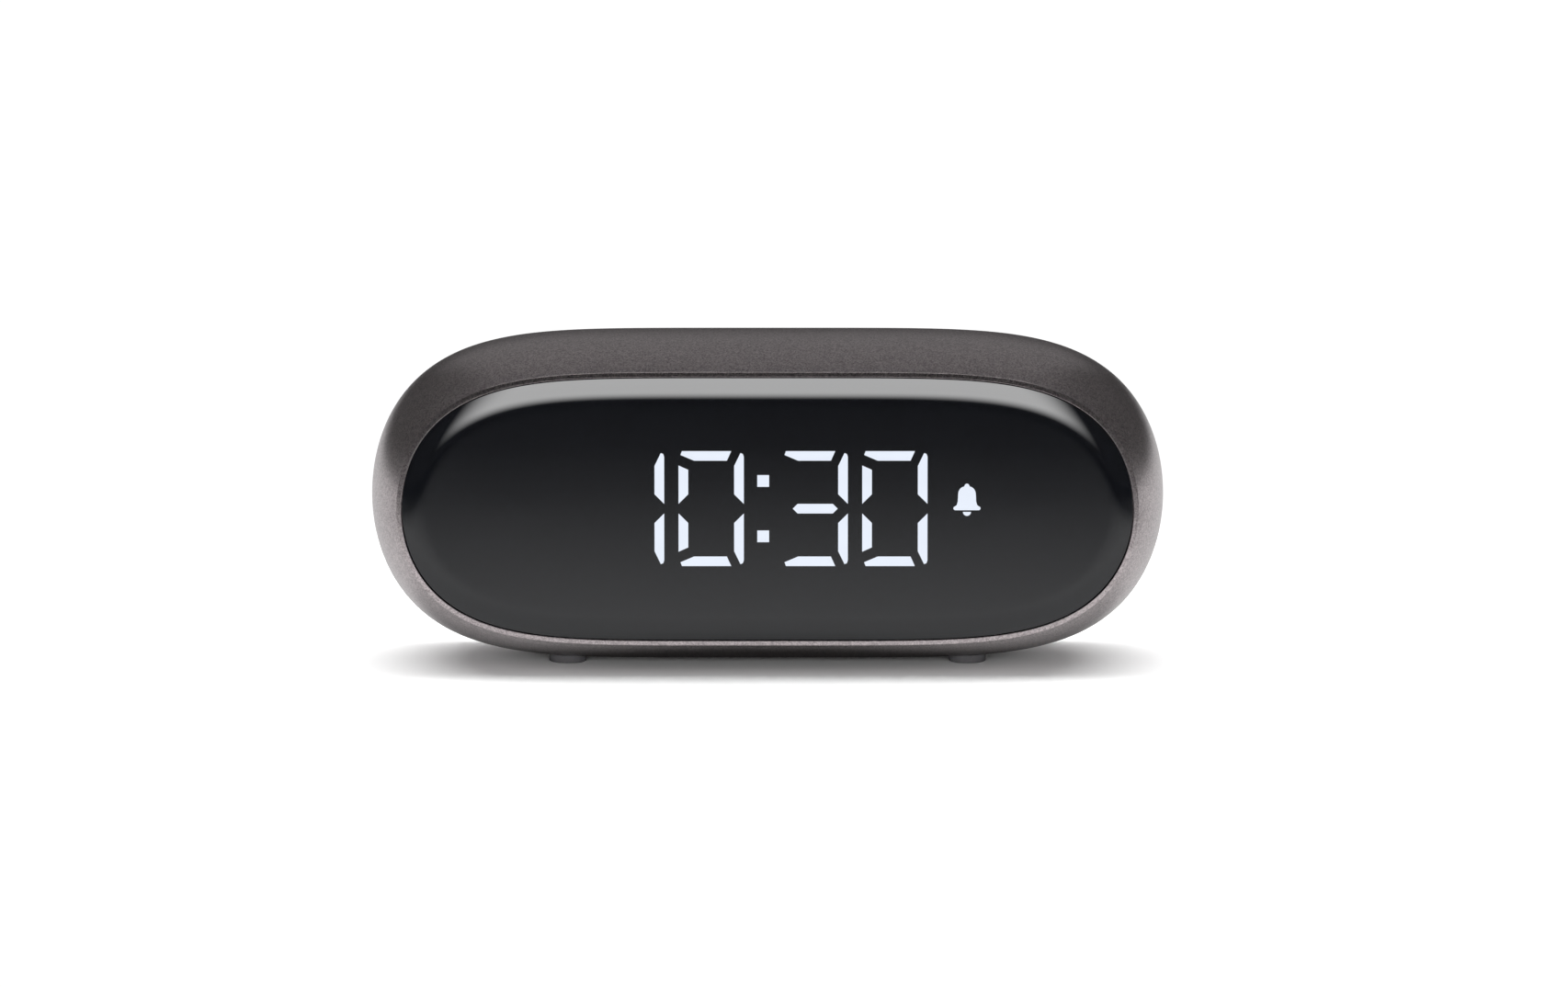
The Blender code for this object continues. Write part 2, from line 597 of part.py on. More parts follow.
def make_battery(mats):
    """The pouch cell, its foam pad, its plug on the main board and the sleeved lead."""
    width, depth, height = BATTERY_SIZE
    block("battery_cell", (0, BATTERY_FRONT + depth / 2, AXIS_Z), BATTERY_SIZE, mats["battery"],
          BATTERY_CORNER)
    block("battery_foam", (0, LED_BOARD_BACK + GAP + FOAM_THICKNESS / 2, AXIS_Z),
          (width - 2 * BATTERY_CORNER, FOAM_THICKNESS, LED_BOARD_HEIGHT - 2 * BATTERY_CORNER),
          mats["foam"])
    size = CONNECTOR_SIZE
    plug_x = -(width / 2 + size[0])
    plug_y = BOARD_FRONT - GAP - size[1] / 2
    block("battery_connector", (plug_x, plug_y, AXIS_Z), size, mats["white"], size[1] / 8, 1)
    start = Vector((-width / 2 - GAP, BATTERY_FRONT + depth / 2, AXIS_Z))
    end = Vector((plug_x, plug_y - size[1] / 2 - GAP, AXIS_Z))
    make_lead("battery_lead", start, end, mats["black"])


def make_lead(name, start, end, mat, radius=0.5 * MM, steps=8):
    """A quarter-round bend of sleeved wire from start (leaving along -X) to end (along +Y)."""
    curve = bpy.data.curves.new(name, "CURVE")
    curve.dimensions = "3D"
    curve.bevel_depth = radius
    curve.bevel_resolution = 2
    curve.use_fill_caps = True
    spline = curve.splines.new("POLY")
    spline.points.add(steps)
    for step, point in enumerate(spline.points):
        angle = math.pi / 2 * step / steps
        x = start.x + (end.x - start.x) * math.sin(angle)
        y = start.y + (end.y - start.y) * (1 - math.cos(angle))
        point.co = (x, y, start.z, 1.0)
    curve.materials.append(mat)
    item = bpy.data.objects.new(name, curve)
    bpy.context.scene.collection.objects.link(item)
    return item


def make_main_board(mats):
    """The board that carries the switches, the charging socket and the clock chip."""
    plate = rounded_rectangle(0, 0, BOARD_WIDTH, BOARD_HEIGHT, REFLECTOR_CORNER)
    board = prism("main_board", [plate], BOARD_FRONT, BOARD_BACK, mats["board"])
    holes = [circle(x, z, SCREW_RADIUS + HOLE_SLACK) for _, x, z in four_corners(BOARD_SCREW_PLACE)]
    cut(board, prism("board_holes", holes, BOARD_FRONT - GAP, BOARD_BACK + GAP))
    for word, x, z in four_corners(BOARD_SCREW_PLACE):
        make_screw("board_screw_" + word, (x, z), BOARD_FRONT - GAP, 1, SCREW_LENGTH, mats["steel"])
    chip_y = BOARD_FRONT - GAP - CHIP_SIZE[1] / 2
    block("clock_chip", (0, chip_y, AXIS_Z), CHIP_SIZE, mats["black"])
    block("clock_crystal", (CHIP_SIZE[0], chip_y, AXIS_Z), CRYSTAL_SIZE, mats["steel"],
          CRYSTAL_SIZE[2] / 5)


def make_flex(mats):
    """The flat cable from the LED board to the main board, and the socket at each end."""
    size = CONNECTOR_SIZE
    socket_x = BATTERY_SIZE[0] / 2 + size[0]
    front_y = LED_BOARD_BACK + GAP + size[1] / 2
    back_y = BOARD_FRONT - GAP - size[1] / 2
    block("flex_socket_front", (socket_x, front_y, AXIS_Z), size, mats["white"], size[1] / 8, 1)
    block("flex_socket_rear", (socket_x, back_y, AXIS_Z), size, mats["white"], size[1] / 8, 1)
    start_x = socket_x + size[0] / 2 + GAP
    radius = (back_y - front_y) / 2
    route = []
    for side in (1, -1):
        reach = radius + side * FLEX_THICKNESS / 2
        arc = [(start_x + FLEX_REACH - radius + reach * math.sin(math.pi * step / 12),
                (front_y + back_y) / 2 - reach * math.cos(math.pi * step / 12))
               for step in range(13)]
        run = [(start_x, arc[0][1])] + arc + [(start_x, arc[-1][1])]
        route += run if side == 1 else run[::-1]
    bm = bmesh.new()
    face = bm.faces.new([bm.verts.new((x, y, AXIS_Z - FLEX_WIDTH / 2)) for x, y in route])
    grown = bmesh.ops.extrude_face_region(bm, geom=[face])
    moved = [part for part in grown["geom"] if isinstance(part, bmesh.types.BMVert)]
    bmesh.ops.translate(bm, vec=(0, 0, FLEX_WIDTH), verts=moved)
    add_object("flex_cable", bm, mats["film"])


# ---------------------------------------------------------------- rear cover and controls

def cover_sections():
    """The cover's outlines, from its flat inner face round its edge to its flat outer face."""
    sections = [inset_section(COVER_INSET, COVER_INNER)]
    for angle in (0, 30, 60, 90):
        turn = math.radians(angle)
        sections.append(inset_section(COVER_INSET + COVER_ROUND * (1 - math.cos(turn)),
                                      LIP_Y + COVER_ROUND * math.sin(turn)))
    return sections


def button_places():
    """The four buttons' names and centres (x, z)."""
    first = BUTTON_ROW_X - 1.5 * BUTTON_PITCH
    return [(name, (first + order * BUTTON_PITCH, BUTTON_ROW_Z))
            for order, name in enumerate(BUTTON_NAMES)]


def sound_holes():
    """Seven small holes in front of the sounder."""
    x, z = SOUNDER_PLACE
    holes = [circle(x, z, SOUND_HOLE_RADIUS, 10)]
    for step in range(6):
        angle = math.pi / 3 * step
        holes.append(circle(x + SOUND_HOLE_PITCH * math.cos(angle),
                            z + SOUND_HOLE_PITCH * math.sin(angle), SOUND_HOLE_RADIUS, 10))
    return holes


def slider_slot():
    """The slot that the slider's knob travels in."""
    return rounded_rectangle(SLIDER_X - SLIDER_TRAVEL / 2, BUTTON_ROW_Z,
                             SLIDER_KNOB[0] + SLIDER_TRAVEL + 2 * SLIP,
                             SLIDER_KNOB[1] + 2 * SLIP, SLIDER_KNOB[1] / 4, 2)


def make_rear_cover(mats):
    """The flat cover with its round edge, screw pads, board posts, and holes for the controls."""
    cover = loft("rear_cover", cover_sections(), mats["cover"])
    into = COVER_INNER + COVER_EDGE / 2
    pads = [circle(x, z, BOSS_RADIUS) for _, x, z in four_corners(COVER_SCREW_PLACE)]
    join(cover, prism("cover_pads", pads, COVER_INNER - COVER_PAD, into))
    posts = [circle(x, z, POST_RADIUS) for _, x, z in four_corners(BOARD_SCREW_PLACE)]
    join(cover, prism("board_posts", posts, BOARD_BACK + GAP, into))
    outside = COVER_TOP + WALL
    inside = COVER_INNER - WALL
    shanks = [circle(x, z, SCREW_RADIUS + HOLE_SLACK) for _, x, z in four_corners(COVER_SCREW_PLACE)]
    recesses = [circle(x, z, SCREW_HEAD_RADIUS + HOLE_SLACK)
                for _, x, z in four_corners(COVER_SCREW_PLACE)]
    threads = [circle(x, z, SCREW_RADIUS + HOLE_SLACK)
               for _, x, z in four_corners(BOARD_SCREW_PLACE)]
    keys = [circle(*place, BUTTON_RADIUS + SLIP) for _, place in button_places()]
    mouth = rounded_rectangle(0, USB_Z, USB_SIZE[0] + 2 * GAP, USB_SIZE[1] + 2 * GAP,
                              USB_SIZE[1] / 2, 6)
    cut(cover, prism("cover_holes", shanks + keys + [mouth, slider_slot()], inside, outside))
    cut(cover, prism("cover_sound_holes", sound_holes(), inside, outside))
    cut(cover, prism("cover_recesses", recesses, COVER_INNER + GAP, outside))
    cut(cover, prism("post_holes", threads, BOARD_BACK, BOARD_BACK + SCREW_LENGTH + GAP))
    for word, x, z in four_corners(COVER_SCREW_PLACE):
        make_screw("cover_screw_" + word, (x, z), COVER_INNER + 2 * GAP, -1,
                   COVER_PAD + SCREW_LENGTH, mats["steel"])


def make_buttons(mats):
    """Each push button, the plunger that it presses and the switch under it."""
    plunger_top = BOARD_BACK + GAP + SWITCH_HEIGHT - PLUNGER_SINK + PLUNGER_LENGTH
    flange_back = COVER_INNER - GAP
    face = COVER_TOP + BUTTON_PROUD
    for name, place in button_places():
        profile = [(0.0, plunger_top + GAP), (BUTTON_STEM_RADIUS, plunger_top + GAP),
                   (BUTTON_STEM_RADIUS, flange_back - BUTTON_FLANGE_THICKNESS),
                   (BUTTON_RADIUS + BUTTON_FLANGE, flange_back - BUTTON_FLANGE_THICKNESS),
                   (BUTTON_RADIUS + BUTTON_FLANGE, flange_back), (BUTTON_RADIUS, flange_back),
                   (BUTTON_RADIUS, face - BUTTON_PROUD / 2),
                   (BUTTON_RADIUS - BUTTON_PROUD / 2, face), (0.0, face)]
        turned(name + "_button", profile, place, mats["button"], steps=24)
        plunger = [(0.0, plunger_top - PLUNGER_LENGTH), (PLUNGER_RADIUS, plunger_top - PLUNGER_LENGTH),
                   (PLUNGER_RADIUS, plunger_top), (0.0, plunger_top)]
        turned(name + "_plunger", plunger, place, mats["black"], steps=16)
        body = block(name + "_switch", (place[0], BOARD_BACK + GAP + SWITCH_HEIGHT / 2, AXIS_Z + place[1]),
                     (SWITCH_SIZE, SWITCH_HEIGHT, SWITCH_SIZE), mats["steel"])
        well = circle(*place, PLUNGER_RADIUS + SLIP, 16)
        floor = plunger_top - PLUNGER_LENGTH - BUTTON_TRAVEL - GAP
        cut(body, prism(name + "_well", [well], floor, BOARD_BACK + SWITCH_HEIGHT + 2 * GAP))


def make_slider(mats):
    """The alarm on-off slider, the lever it drives and the slide switch."""
    place_z = AXIS_Z + BUTTON_ROW_Z
    plate_back = COVER_INNER - GAP
    plate_front = plate_back - SLIDER_PLATE_THICKNESS
    switch_back = BOARD_BACK + GAP + SLIDE_SWITCH_SIZE[1]
    lever_back = switch_back - PLUNGER_SINK + LEVER_SIZE[1]
    slider = block("alarm_slider", (SLIDER_X, (plate_front + plate_back) / 2, place_z),
                   (SLIDER_PLATE[0], SLIDER_PLATE_THICKNESS, SLIDER_PLATE[1]), mats["button"])
    face = COVER_TOP + BUTTON_PROUD / 2
    middle = (plate_front + plate_back) / 2
    knob = block("knob", (SLIDER_X, (middle + face) / 2, place_z),
                 (SLIDER_KNOB[0], face - middle, SLIDER_KNOB[1]), bevel=SLIDER_KNOB[1] / 8, segments=1)
    stem_front = lever_back + GAP
    stem = block("stem", (SLIDER_X, (stem_front + middle) / 2, place_z),
                 (LEVER_SIZE[0], middle - stem_front, LEVER_SIZE[2]))
    join(slider, knob)
    join(slider, stem)
    block("slider_lever", (SLIDER_X, lever_back - LEVER_SIZE[1] / 2, place_z), LEVER_SIZE, mats["black"])
    middle_x = SLIDER_X - SLIDER_TRAVEL / 2
    width, height, thickness = SLIDE_SWITCH_SIZE
    body = block("slide_switch", (middle_x, BOARD_BACK + GAP + height / 2, place_z), SLIDE_SWITCH_SIZE,
                 mats["steel"])
    channel = block("channel", (middle_x, switch_back, place_z),
                    (LEVER_SIZE[0] + SLIDER_TRAVEL + 2 * SLIP, 2 * (PLUNGER_SINK + GAP),
                     LEVER_SIZE[2] + 2 * SLIP))
    cut(body, channel)


def make_charging_socket(mats):
    """The charging socket: a steel shell, open to the rear, and the tongue inside it."""
    front = BOARD_BACK + GAP
    back = COVER_TOP - GAP
    shell = rounded_rectangle(0, USB_Z, USB_SIZE[0], USB_SIZE[1], USB_SIZE[1] / 2 * 0.98, 5)
    socket = prism("charging_socket", [shell], front, back, mats["steel"])
    inner = rounded_rectangle(0, USB_Z, USB_SIZE[0] - 2 * USB_WALL, USB_SIZE[1] - 2 * USB_WALL,
                              (USB_SIZE[1] / 2 - USB_WALL) * 0.98, 5)
    cut(socket, prism("socket_mouth", [inner], back - USB_MOUTH_DEPTH, back + GAP))
    length = USB_MOUTH_DEPTH - SCREW_RADIUS
    block("socket_tongue", (0, back - USB_MOUTH_DEPTH + GAP + length / 2, AXIS_Z + USB_Z),
          (USB_TONGUE[0], length, USB_TONGUE[1]), mats["black"])


def make_sounder(mats):
    """The alarm's sounder, its foam gasket and the dust mesh behind the cover's holes."""
    back = COVER_INNER - GAP
    turned("dust_mesh", [(0.0, back - MESH_THICKNESS), (SOUNDER_RADIUS * 0.7, back - MESH_THICKNESS),
                         (SOUNDER_RADIUS * 0.7, back), (0.0, back)], SOUNDER_PLACE, mats["black"])
    back -= MESH_THICKNESS + GAP
    inner = SOUNDER_RADIUS * 0.65
    front = back - GASKET_THICKNESS
    turned("sounder_gasket", [(inner, front), (SOUNDER_RADIUS, front), (SOUNDER_RADIUS, back),
                              (inner, back), (inner, front)], SOUNDER_PLACE, mats["foam"])
    back = front - GAP
    front = back - SOUNDER_THICKNESS
    turned("sounder", [(0.0, front), (SOUNDER_RADIUS, front), (SOUNDER_RADIUS, back),
                       (SOUNDER_RADIUS * 0.8, back), (SOUNDER_RADIUS * 0.7, back - GAP),
                       (0.0, back - GAP)], SOUNDER_PLACE, mats["black"])


def make_touch_plate(mats):
    """The snooze touch plate under the top wall, and the spring that joins it to the board."""
    width, depth, thickness = ELECTRODE_SIZE
    top = AXIS_Z + HALF_HEIGHT - WALL - ELECTRODE_DROP
    block("touch_electrode", (0, WIDEST_Y, top - thickness / 2), ELECTRODE_SIZE, mats["copper"])
    low = AXIS_Z + BOARD_HEIGHT / 2 + GAP + SPRING_WIRE
    high = top - thickness - GAP - SPRING_WIRE
    curve = bpy.data.curves.new("touch_spring", "CURVE")
    curve.dimensions = "3D"
    curve.bevel_depth = SPRING_WIRE
    curve.bevel_resolution = 0
    curve.use_fill_caps = True
    spline = curve.splines.new("POLY")
    count = SPRING_TURNS * 12
    spline.points.add(count)
    for step, point in enumerate(spline.points):
        angle = 2 * math.pi * step / 12
        point.co = (SPRING_RADIUS * math.cos(angle), SPRING_RADIUS * math.sin(angle),
                    low + (high - low) * step / count, 1.0)
    curve.materials.append(mats["steel"])
    spring = bpy.data.objects.new("touch_spring", curve)
    spring.location = (0, (BOARD_FRONT + BOARD_BACK) / 2, 0)
    bpy.context.scene.collection.objects.link(spring)


def main():
    clear_scene()
    mats = {
        "shell": material("gunmetal_shell", (0.105, 0.098, 0.098), 0.35, 0.85),
        "lens": material("smoked_acrylic", (0.006, 0.006, 0.007), 0.05),
        "adhesive": material("foam_tape", (0.02, 0.02, 0.02), 0.9),
        "film": material("diffuser_film", (0.75, 0.75, 0.73), 0.5),
        "white": material("white_plastic", (0.8, 0.8, 0.78), 0.45),
        "black": material("black_plastic", (0.02, 0.02, 0.02), 0.5),
        "board": material("circuit_board", (0.01, 0.12, 0.06), 0.4),
        "battery": material("battery_foil", (0.55, 0.56, 0.58), 0.35, 0.7),
        "foam": material("foam", (0.06, 0.06, 0.065), 0.95),
        "steel": material("plated_steel", (0.6, 0.6, 0.6), 0.3, 1.0),
        "cover": material("cover_plastic", (0.045, 0.043, 0.044), 0.5),
        "button": material("button_plastic", (0.03, 0.03, 0.03), 0.45),
        "copper": material("copper_foil", (0.72, 0.36, 0.2), 0.3, 1.0),
        "rubber": material("foot_rubber", (0.015, 0.015, 0.015), 0.8),
    }
    make_housing(mats["shell"])
    make_feet(mats["rubber"])
    make_lens(mats)
    make_display(mats)
    make_battery(mats)
    make_main_board(mats)
    make_flex(mats)
    make_rear_cover(mats)
    make_buttons(mats)
    make_slider(mats)
    make_charging_socket(mats)
    make_sounder(mats)
    make_touch_plate(mats)


if __name__ == "__main__":
    main()
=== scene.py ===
"""Looks of a pebble-shaped LED alarm clock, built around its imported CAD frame.

Each sub-assembly is a class that reads its place from the frame, builds its fine meshes and gives
them their finishes. Everything is in metres: +Z is up and the lens faces -Y.
"""

import logging
import math
from dataclasses import dataclass, field
from enum import Enum
from typing import Callable, Iterable, Optional, Sequence

import bmesh
import bpy
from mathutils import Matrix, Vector


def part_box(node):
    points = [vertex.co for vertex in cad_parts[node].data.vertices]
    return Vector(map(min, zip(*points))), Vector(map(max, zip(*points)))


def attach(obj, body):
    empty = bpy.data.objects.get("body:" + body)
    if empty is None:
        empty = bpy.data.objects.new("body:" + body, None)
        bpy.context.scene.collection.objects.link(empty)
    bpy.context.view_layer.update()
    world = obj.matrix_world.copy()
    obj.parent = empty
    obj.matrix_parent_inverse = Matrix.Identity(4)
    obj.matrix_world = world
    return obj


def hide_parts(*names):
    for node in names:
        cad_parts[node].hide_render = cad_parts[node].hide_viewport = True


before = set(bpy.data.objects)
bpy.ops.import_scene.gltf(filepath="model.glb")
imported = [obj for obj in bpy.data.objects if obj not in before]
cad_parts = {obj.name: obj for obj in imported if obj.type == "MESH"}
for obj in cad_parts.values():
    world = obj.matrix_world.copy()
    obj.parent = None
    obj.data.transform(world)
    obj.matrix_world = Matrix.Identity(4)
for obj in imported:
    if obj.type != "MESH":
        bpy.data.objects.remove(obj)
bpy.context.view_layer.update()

LOG = logging.getLogger("alarm_clock")
MM = 0.001
Point = tuple[float, float]
Section = tuple[float, float, float]
Tree = bpy.types.NodeTree
Socket = bpy.types.NodeSocket
Mesh = bmesh.types.BMesh
Item = bpy.types.Object


class Body(Enum):
    """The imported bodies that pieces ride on."""

    CASE = "case"
    TIME = "time_key"
    ALARM = "alarm_key"
    DOWN = "down_key"
    UP = "up_key"
    SLIDER = "slider"


class Key(Enum):
    """The four keys, by the word that their nodes begin with."""

    TIME = "time"
    ALARM = "alarm"
    DOWN = "down"
    UP = "up"


# ------------------------------------------------------------------ colour and nodes

def srgb(code: str) -> tuple[float, float, float, float]:
    """Turn an sRGB hex colour into linear RGBA.

    Args:
        code: six hex digits, such as "8a8f94".

    Returns:
        Linear red, green, blue and an alpha of one.
    """
    parts = [int(code[start:start + 2], 16) / 255 for start in (0, 2, 4)]
    linear = [part / 12.92 if part <= 0.04045 else ((part + 0.055) / 1.055) ** 2.4 for part in parts]
    return (linear[0], linear[1], linear[2], 1.0)


def add_node(tree: Tree, kind: str, values: Optional[dict] = None,
             links: Optional[dict] = None, **settings) -> bpy.types.Node:
    """Add a node with its settings, socket values and incoming links.

    Args:
        tree: the node tree to add to.
        kind: the node's type name.
        values: default values by input socket.
        links: output sockets of other nodes by input socket.
        **settings: attributes set on the node itself.

    Returns:
        The new node.
    """
    node = tree.nodes.new(kind)
    for name, value in settings.items():
        setattr(node, name, value)
    for socket, value in (values or {}).items():
        node.inputs[socket].default_value = value
    for socket, source in (links or {}).items():
        tree.links.new(source, node.inputs[socket])
    return node


def per_metre(size_mm: float) -> float:
    """Texture scale that repeats a pattern every size_mm millimetres."""
    return 1.0 / (size_mm * MM)


def blank_material(name: str) -> tuple[bpy.types.Material, Tree, Socket]:
    """Add a material without nodes but for its coordinates.

    Args:
        name: the material's name.

    Returns:
        The material, its node tree and the tree's Object coordinates.
    """
    material = bpy.data.materials.new(name)
    material.use_nodes = True
    material.node_tree.nodes.clear()
    place = add_node(material.node_tree, "ShaderNodeTexCoord").outputs["Object"]
    return material, material.node_tree, place


# ------------------------------------------------------------------ finishes

@dataclass(frozen=True)
class Finish:
    """A procedural surface: a colour that varies a little, a roughness that varies, and a grain.

    The grain is a noise bump at a real size; subclasses add what is special to their material.
    """

    name: str
    colour: str
    second_colour: str
    roughness: float
    roughness_spread: float = 0.06
    metallic: float = 0.0
    ior: float = 1.5
    grain_mm: float = 0.4
    grain_depth_mm: float = 0.01
    patch_mm: float = 9.0
    coat: float = 0.0
    coat_roughness: float = 0.1
    specular: float = 0.5
    sheen: float = 0.0
    speckle: float = 0.05

    def material(self) -> bpy.types.Material:
        """Return the finish's material, made once."""
        found = bpy.data.materials.get(self.name)
        return found or self.build()

    def build(self) -> bpy.types.Material:
        """Make the material's nodes.

        Returns:
            The material.
        """
        material, tree, place = blank_material(self.name)
        shader = add_node(tree, "ShaderNodeBsdfPrincipled", {
            "Metallic": self.metallic, "IOR": self.ior, "Coat Weight": self.coat,
            "Coat Roughness": self.coat_roughness, "Specular IOR Level": self.specular,
            "Sheen Weight": self.sheen})
        tree.links.new(self.colour_socket(tree, place), shader.inputs["Base Color"])
        tree.links.new(self.roughness_socket(tree, place), shader.inputs["Roughness"])
        tree.links.new(self.normal_socket(tree, place), shader.inputs["Normal"])
        self.extra(tree, place, shader)
        add_node(tree, "ShaderNodeOutputMaterial", links={"Surface": shader.outputs["BSDF"]})
        return material

    def colour_socket(self, tree: Tree, place: Socket) -> Socket:
        """Drift slowly between the finish's two colours, with a fine speckle.

        Args:
            tree: the material's node tree.
            place: the piece's Object coordinates.

        Returns:
            The base colour.
        """
        patches = add_node(tree, "ShaderNodeTexNoise", {"Scale": per_metre(self.patch_mm), "Detail": 4.0},
                           {"Vector": place})
        mix = add_node(tree, "ShaderNodeMix", {"A": srgb(self.colour), "B": srgb(self.second_colour)},
                       {"Factor": patches.outputs["Fac"]}, data_type="RGBA")
        grain = add_node(tree, "ShaderNodeTexNoise", {"Scale": per_metre(self.grain_mm), "Detail": 2.0},
                         {"Vector": place})
        level = add_node(tree, "ShaderNodeMapRange", {
            "From Min": 0.3, "From Max": 0.7, "To Min": 1.0 - self.speckle, "To Max": 1.0 + self.speckle},
            {"Value": grain.outputs["Fac"]})
        scaled = add_node(tree, "ShaderNodeVectorMath", links={0: mix.outputs["Result"],
                                                               1: level.outputs["Result"]},
                          operation="MULTIPLY")
        return scaled.outputs["Vector"]

    def roughness_socket(self, tree: Tree, place: Socket) -> Socket:
        """Vary the roughness about its typical value, by the spread.

        Args:
            tree: the material's node tree.
            place: the piece's Object coordinates.

        Returns:
            The roughness.
        """
        wear = add_node(tree, "ShaderNodeTexNoise", {"Scale": per_metre(self.patch_mm / 3), "Detail": 5.0},
                        {"Vector": place})
        spread = add_node(tree, "ShaderNodeMapRange", {
            "To Min": self.roughness - self.roughness_spread,
            "To Max": self.roughness + self.roughness_spread}, {"Value": wear.outputs["Fac"]})
        return spread.outputs["Result"]

    def height_socket(self, tree: Tree, place: Socket) -> Socket:
        """Draw the grain as a height.

        Args:
            tree: the material's node tree.
            place: the piece's Object coordinates.

        Returns:
            The height, from zero to one.
        """
        grain = add_node(tree, "ShaderNodeTexNoise", {"Scale": per_metre(self.grain_mm), "Detail": 3.0,
                                                      "Roughness": 0.6}, {"Vector": place})
        return grain.outputs["Fac"]

    def normal_socket(self, tree: Tree, place: Socket) -> Socket:
        """Bump the surface by the grain.

        Args:
            tree: the material's node tree.
            place: the piece's Object coordinates.

        Returns:
            The bumped normal.
        """
        bump = add_node(tree, "ShaderNodeBump", {"Strength": 1.0, "Distance": self.grain_depth_mm * MM},
                        {"Height": self.height_socket(tree, place)})
        return bump.outputs["Normal"]

    def extra(self, tree: Tree, place: Socket, shader: bpy.types.Node) -> None:
        """Add whatever else the material shows; nothing by default."""


@dataclass(frozen=True)
class FlakePaint(Finish):
    """Metallic paint: flakes that each catch the light a little differently."""

    flake_mm: float = 0.17
    flake_contrast: float = 0.45

    def colour_socket(self, tree: Tree, place: Socket) -> Socket:
        """Make the paint brighter and darker from flake to flake.

        Args:
            tree: the material's node tree.
            place: the piece's Object coordinates.

        Returns:
            The base colour.
        """
        base = super().colour_socket(tree, place)
        flakes = add_node(tree, "ShaderNodeTexVoronoi", {"Scale": per_metre(self.flake_mm)},
                          {"Vector": place})
        level = add_node(tree, "ShaderNodeMapRange", {
            "To Min": 1.0 - self.flake_contrast, "To Max": 1.0 + self.flake_contrast},
            {"Value": flakes.outputs["Color"]})
        scaled = add_node(tree, "ShaderNodeVectorMath", links={0: base, 1: level.outputs["Result"]},
                          operation="MULTIPLY")
        return scaled.outputs["Vector"]


@dataclass(frozen=True)
class LitWindow(Finish):
    """LED light through a white diffuser: almost even, a touch brighter where the LEDs sit."""

    glow: str = "e4ebf7"
    strength: float = 1.0

    def extra(self, tree: Tree, place: Socket, shader: bpy.types.Node) -> None:
        """Add the light that the window gives.

        Args:
            tree: the material's node tree.
            place: the piece's Object coordinates.
            shader: the node whose emission is set.
        """
        pools = add_node(tree, "ShaderNodeTexNoise", {"Scale": per_metre(4.0), "Detail": 1.0},
                         {"Vector": place})
        level = add_node(tree, "ShaderNodeMapRange", {"To Min": 0.96, "To Max": 1.04},
                         {"Value": pools.outputs["Fac"]})
        glow = add_node(tree, "ShaderNodeVectorMath", {0: srgb(self.glow)[:3]},
                        {1: level.outputs["Result"]}, operation="MULTIPLY")
        tree.links.new(glow.outputs["Vector"], shader.inputs["Emission Color"])
        shader.inputs["Emission Strength"].default_value = self.strength


# Plastic shell in warm gunmetal metallic paint: soft sheen, tiny flakes that show as a fine grain.
GUNMETAL_PAINT = FlakePaint("metallic_paint_gunmetal", "a39b9d", "a9a1a2", 0.3, 0.02, metallic=0.95,
                            grain_mm=0.14, grain_depth_mm=0.0025, patch_mm=30.0)
# Smoked acrylic, polished: almost black, mirror-like, with the faintest haze.
SMOKED_ACRYLIC = Finish("smoked_acrylic_polished", "0a0b0e", "0c0d10", 0.035, 0.012, ior=1.49,
                        grain_mm=6.0, grain_depth_mm=0.0004, patch_mm=14.0)
# White LED light behind the acrylic.
LED_LIGHT = LitWindow("led_light_diffused", "20242a", "23272d", 0.3, ior=1.49)
# ABS with a spark-eroded mould texture: matt, dark and slightly pebbled.
COVER_ABS = Finish("abs_spark_textured", "363537", "403f41", 0.5, grain_mm=0.3, grain_depth_mm=0.045,
                   speckle=0.2)
# Satin ABS of the keys: smoother than the cover, polished a little by fingers.
KEY_ABS = Finish("abs_satin_keys", "242426", "2c2c2e", 0.34, grain_mm=0.25, grain_depth_mm=0.008,
                 speckle=0.1)
# Silk-screen ink of the key symbols: flat light grey.
SYMBOL_INK = Finish("screen_ink_light_grey", "c9cacc", "bdbec0", 0.55, grain_mm=0.2,
                    grain_depth_mm=0.003)
# Nickel-plated steel: bright, with faint wandering scratches.
PLATED_STEEL = Finish("nickel_plated_steel", "c4c2be", "b4b2ae", 0.26, metallic=1.0, grain_mm=0.5,
                      grain_depth_mm=0.003, patch_mm=2.0)
# Silicone rubber: matt and dusty.
FOOT_RUBBER = Finish("silicone_rubber_feet", "4a494b", "525153", 0.82, grain_mm=0.3,
                     grain_depth_mm=0.02, specular=0.3)
# Black glass-filled nylon of carriers and switches.
BLACK_PLASTIC = Finish("moulded_black_nylon", "1d1d1f", "242427", 0.45, grain_mm=0.4,
                       grain_depth_mm=0.01)
# White polycarbonate of the reflector and plugs.
WHITE_PLASTIC = Finish("moulded_white_polycarbonate", "e9e8e3", "f1f0ec", 0.4, grain_mm=0.6,
                       grain_depth_mm=0.006)
# Glass-fibre board under green solder mask.
CIRCUIT_BOARD = Finish("solder_masked_board", "0f5a3c", "13694a", 0.32, grain_mm=0.9,
                       grain_depth_mm=0.02, coat=0.4)
# Aluminium laminate of a pouch cell: dull silver with soft creases.
POUCH_FOIL = Finish("pouch_foil_laminate", "b9bbbf", "a9abb0", 0.34, metallic=0.85, grain_mm=4.0,
                    grain_depth_mm=0.12)
# Open-cell foam of pads and gaskets.
PAD_FOAM = Finish("open_cell_foam", "2c2c2e", "38383b", 0.95, grain_mm=0.5, grain_depth_mm=0.12,
                  specular=0.2, sheen=0.3)
# Copper foil of the touch plate.
COPPER_FOIL = Finish("rolled_copper_foil", "c8794f", "b96a42", 0.3, metallic=1.0, grain_mm=1.2,
                     grain_depth_mm=0.01)
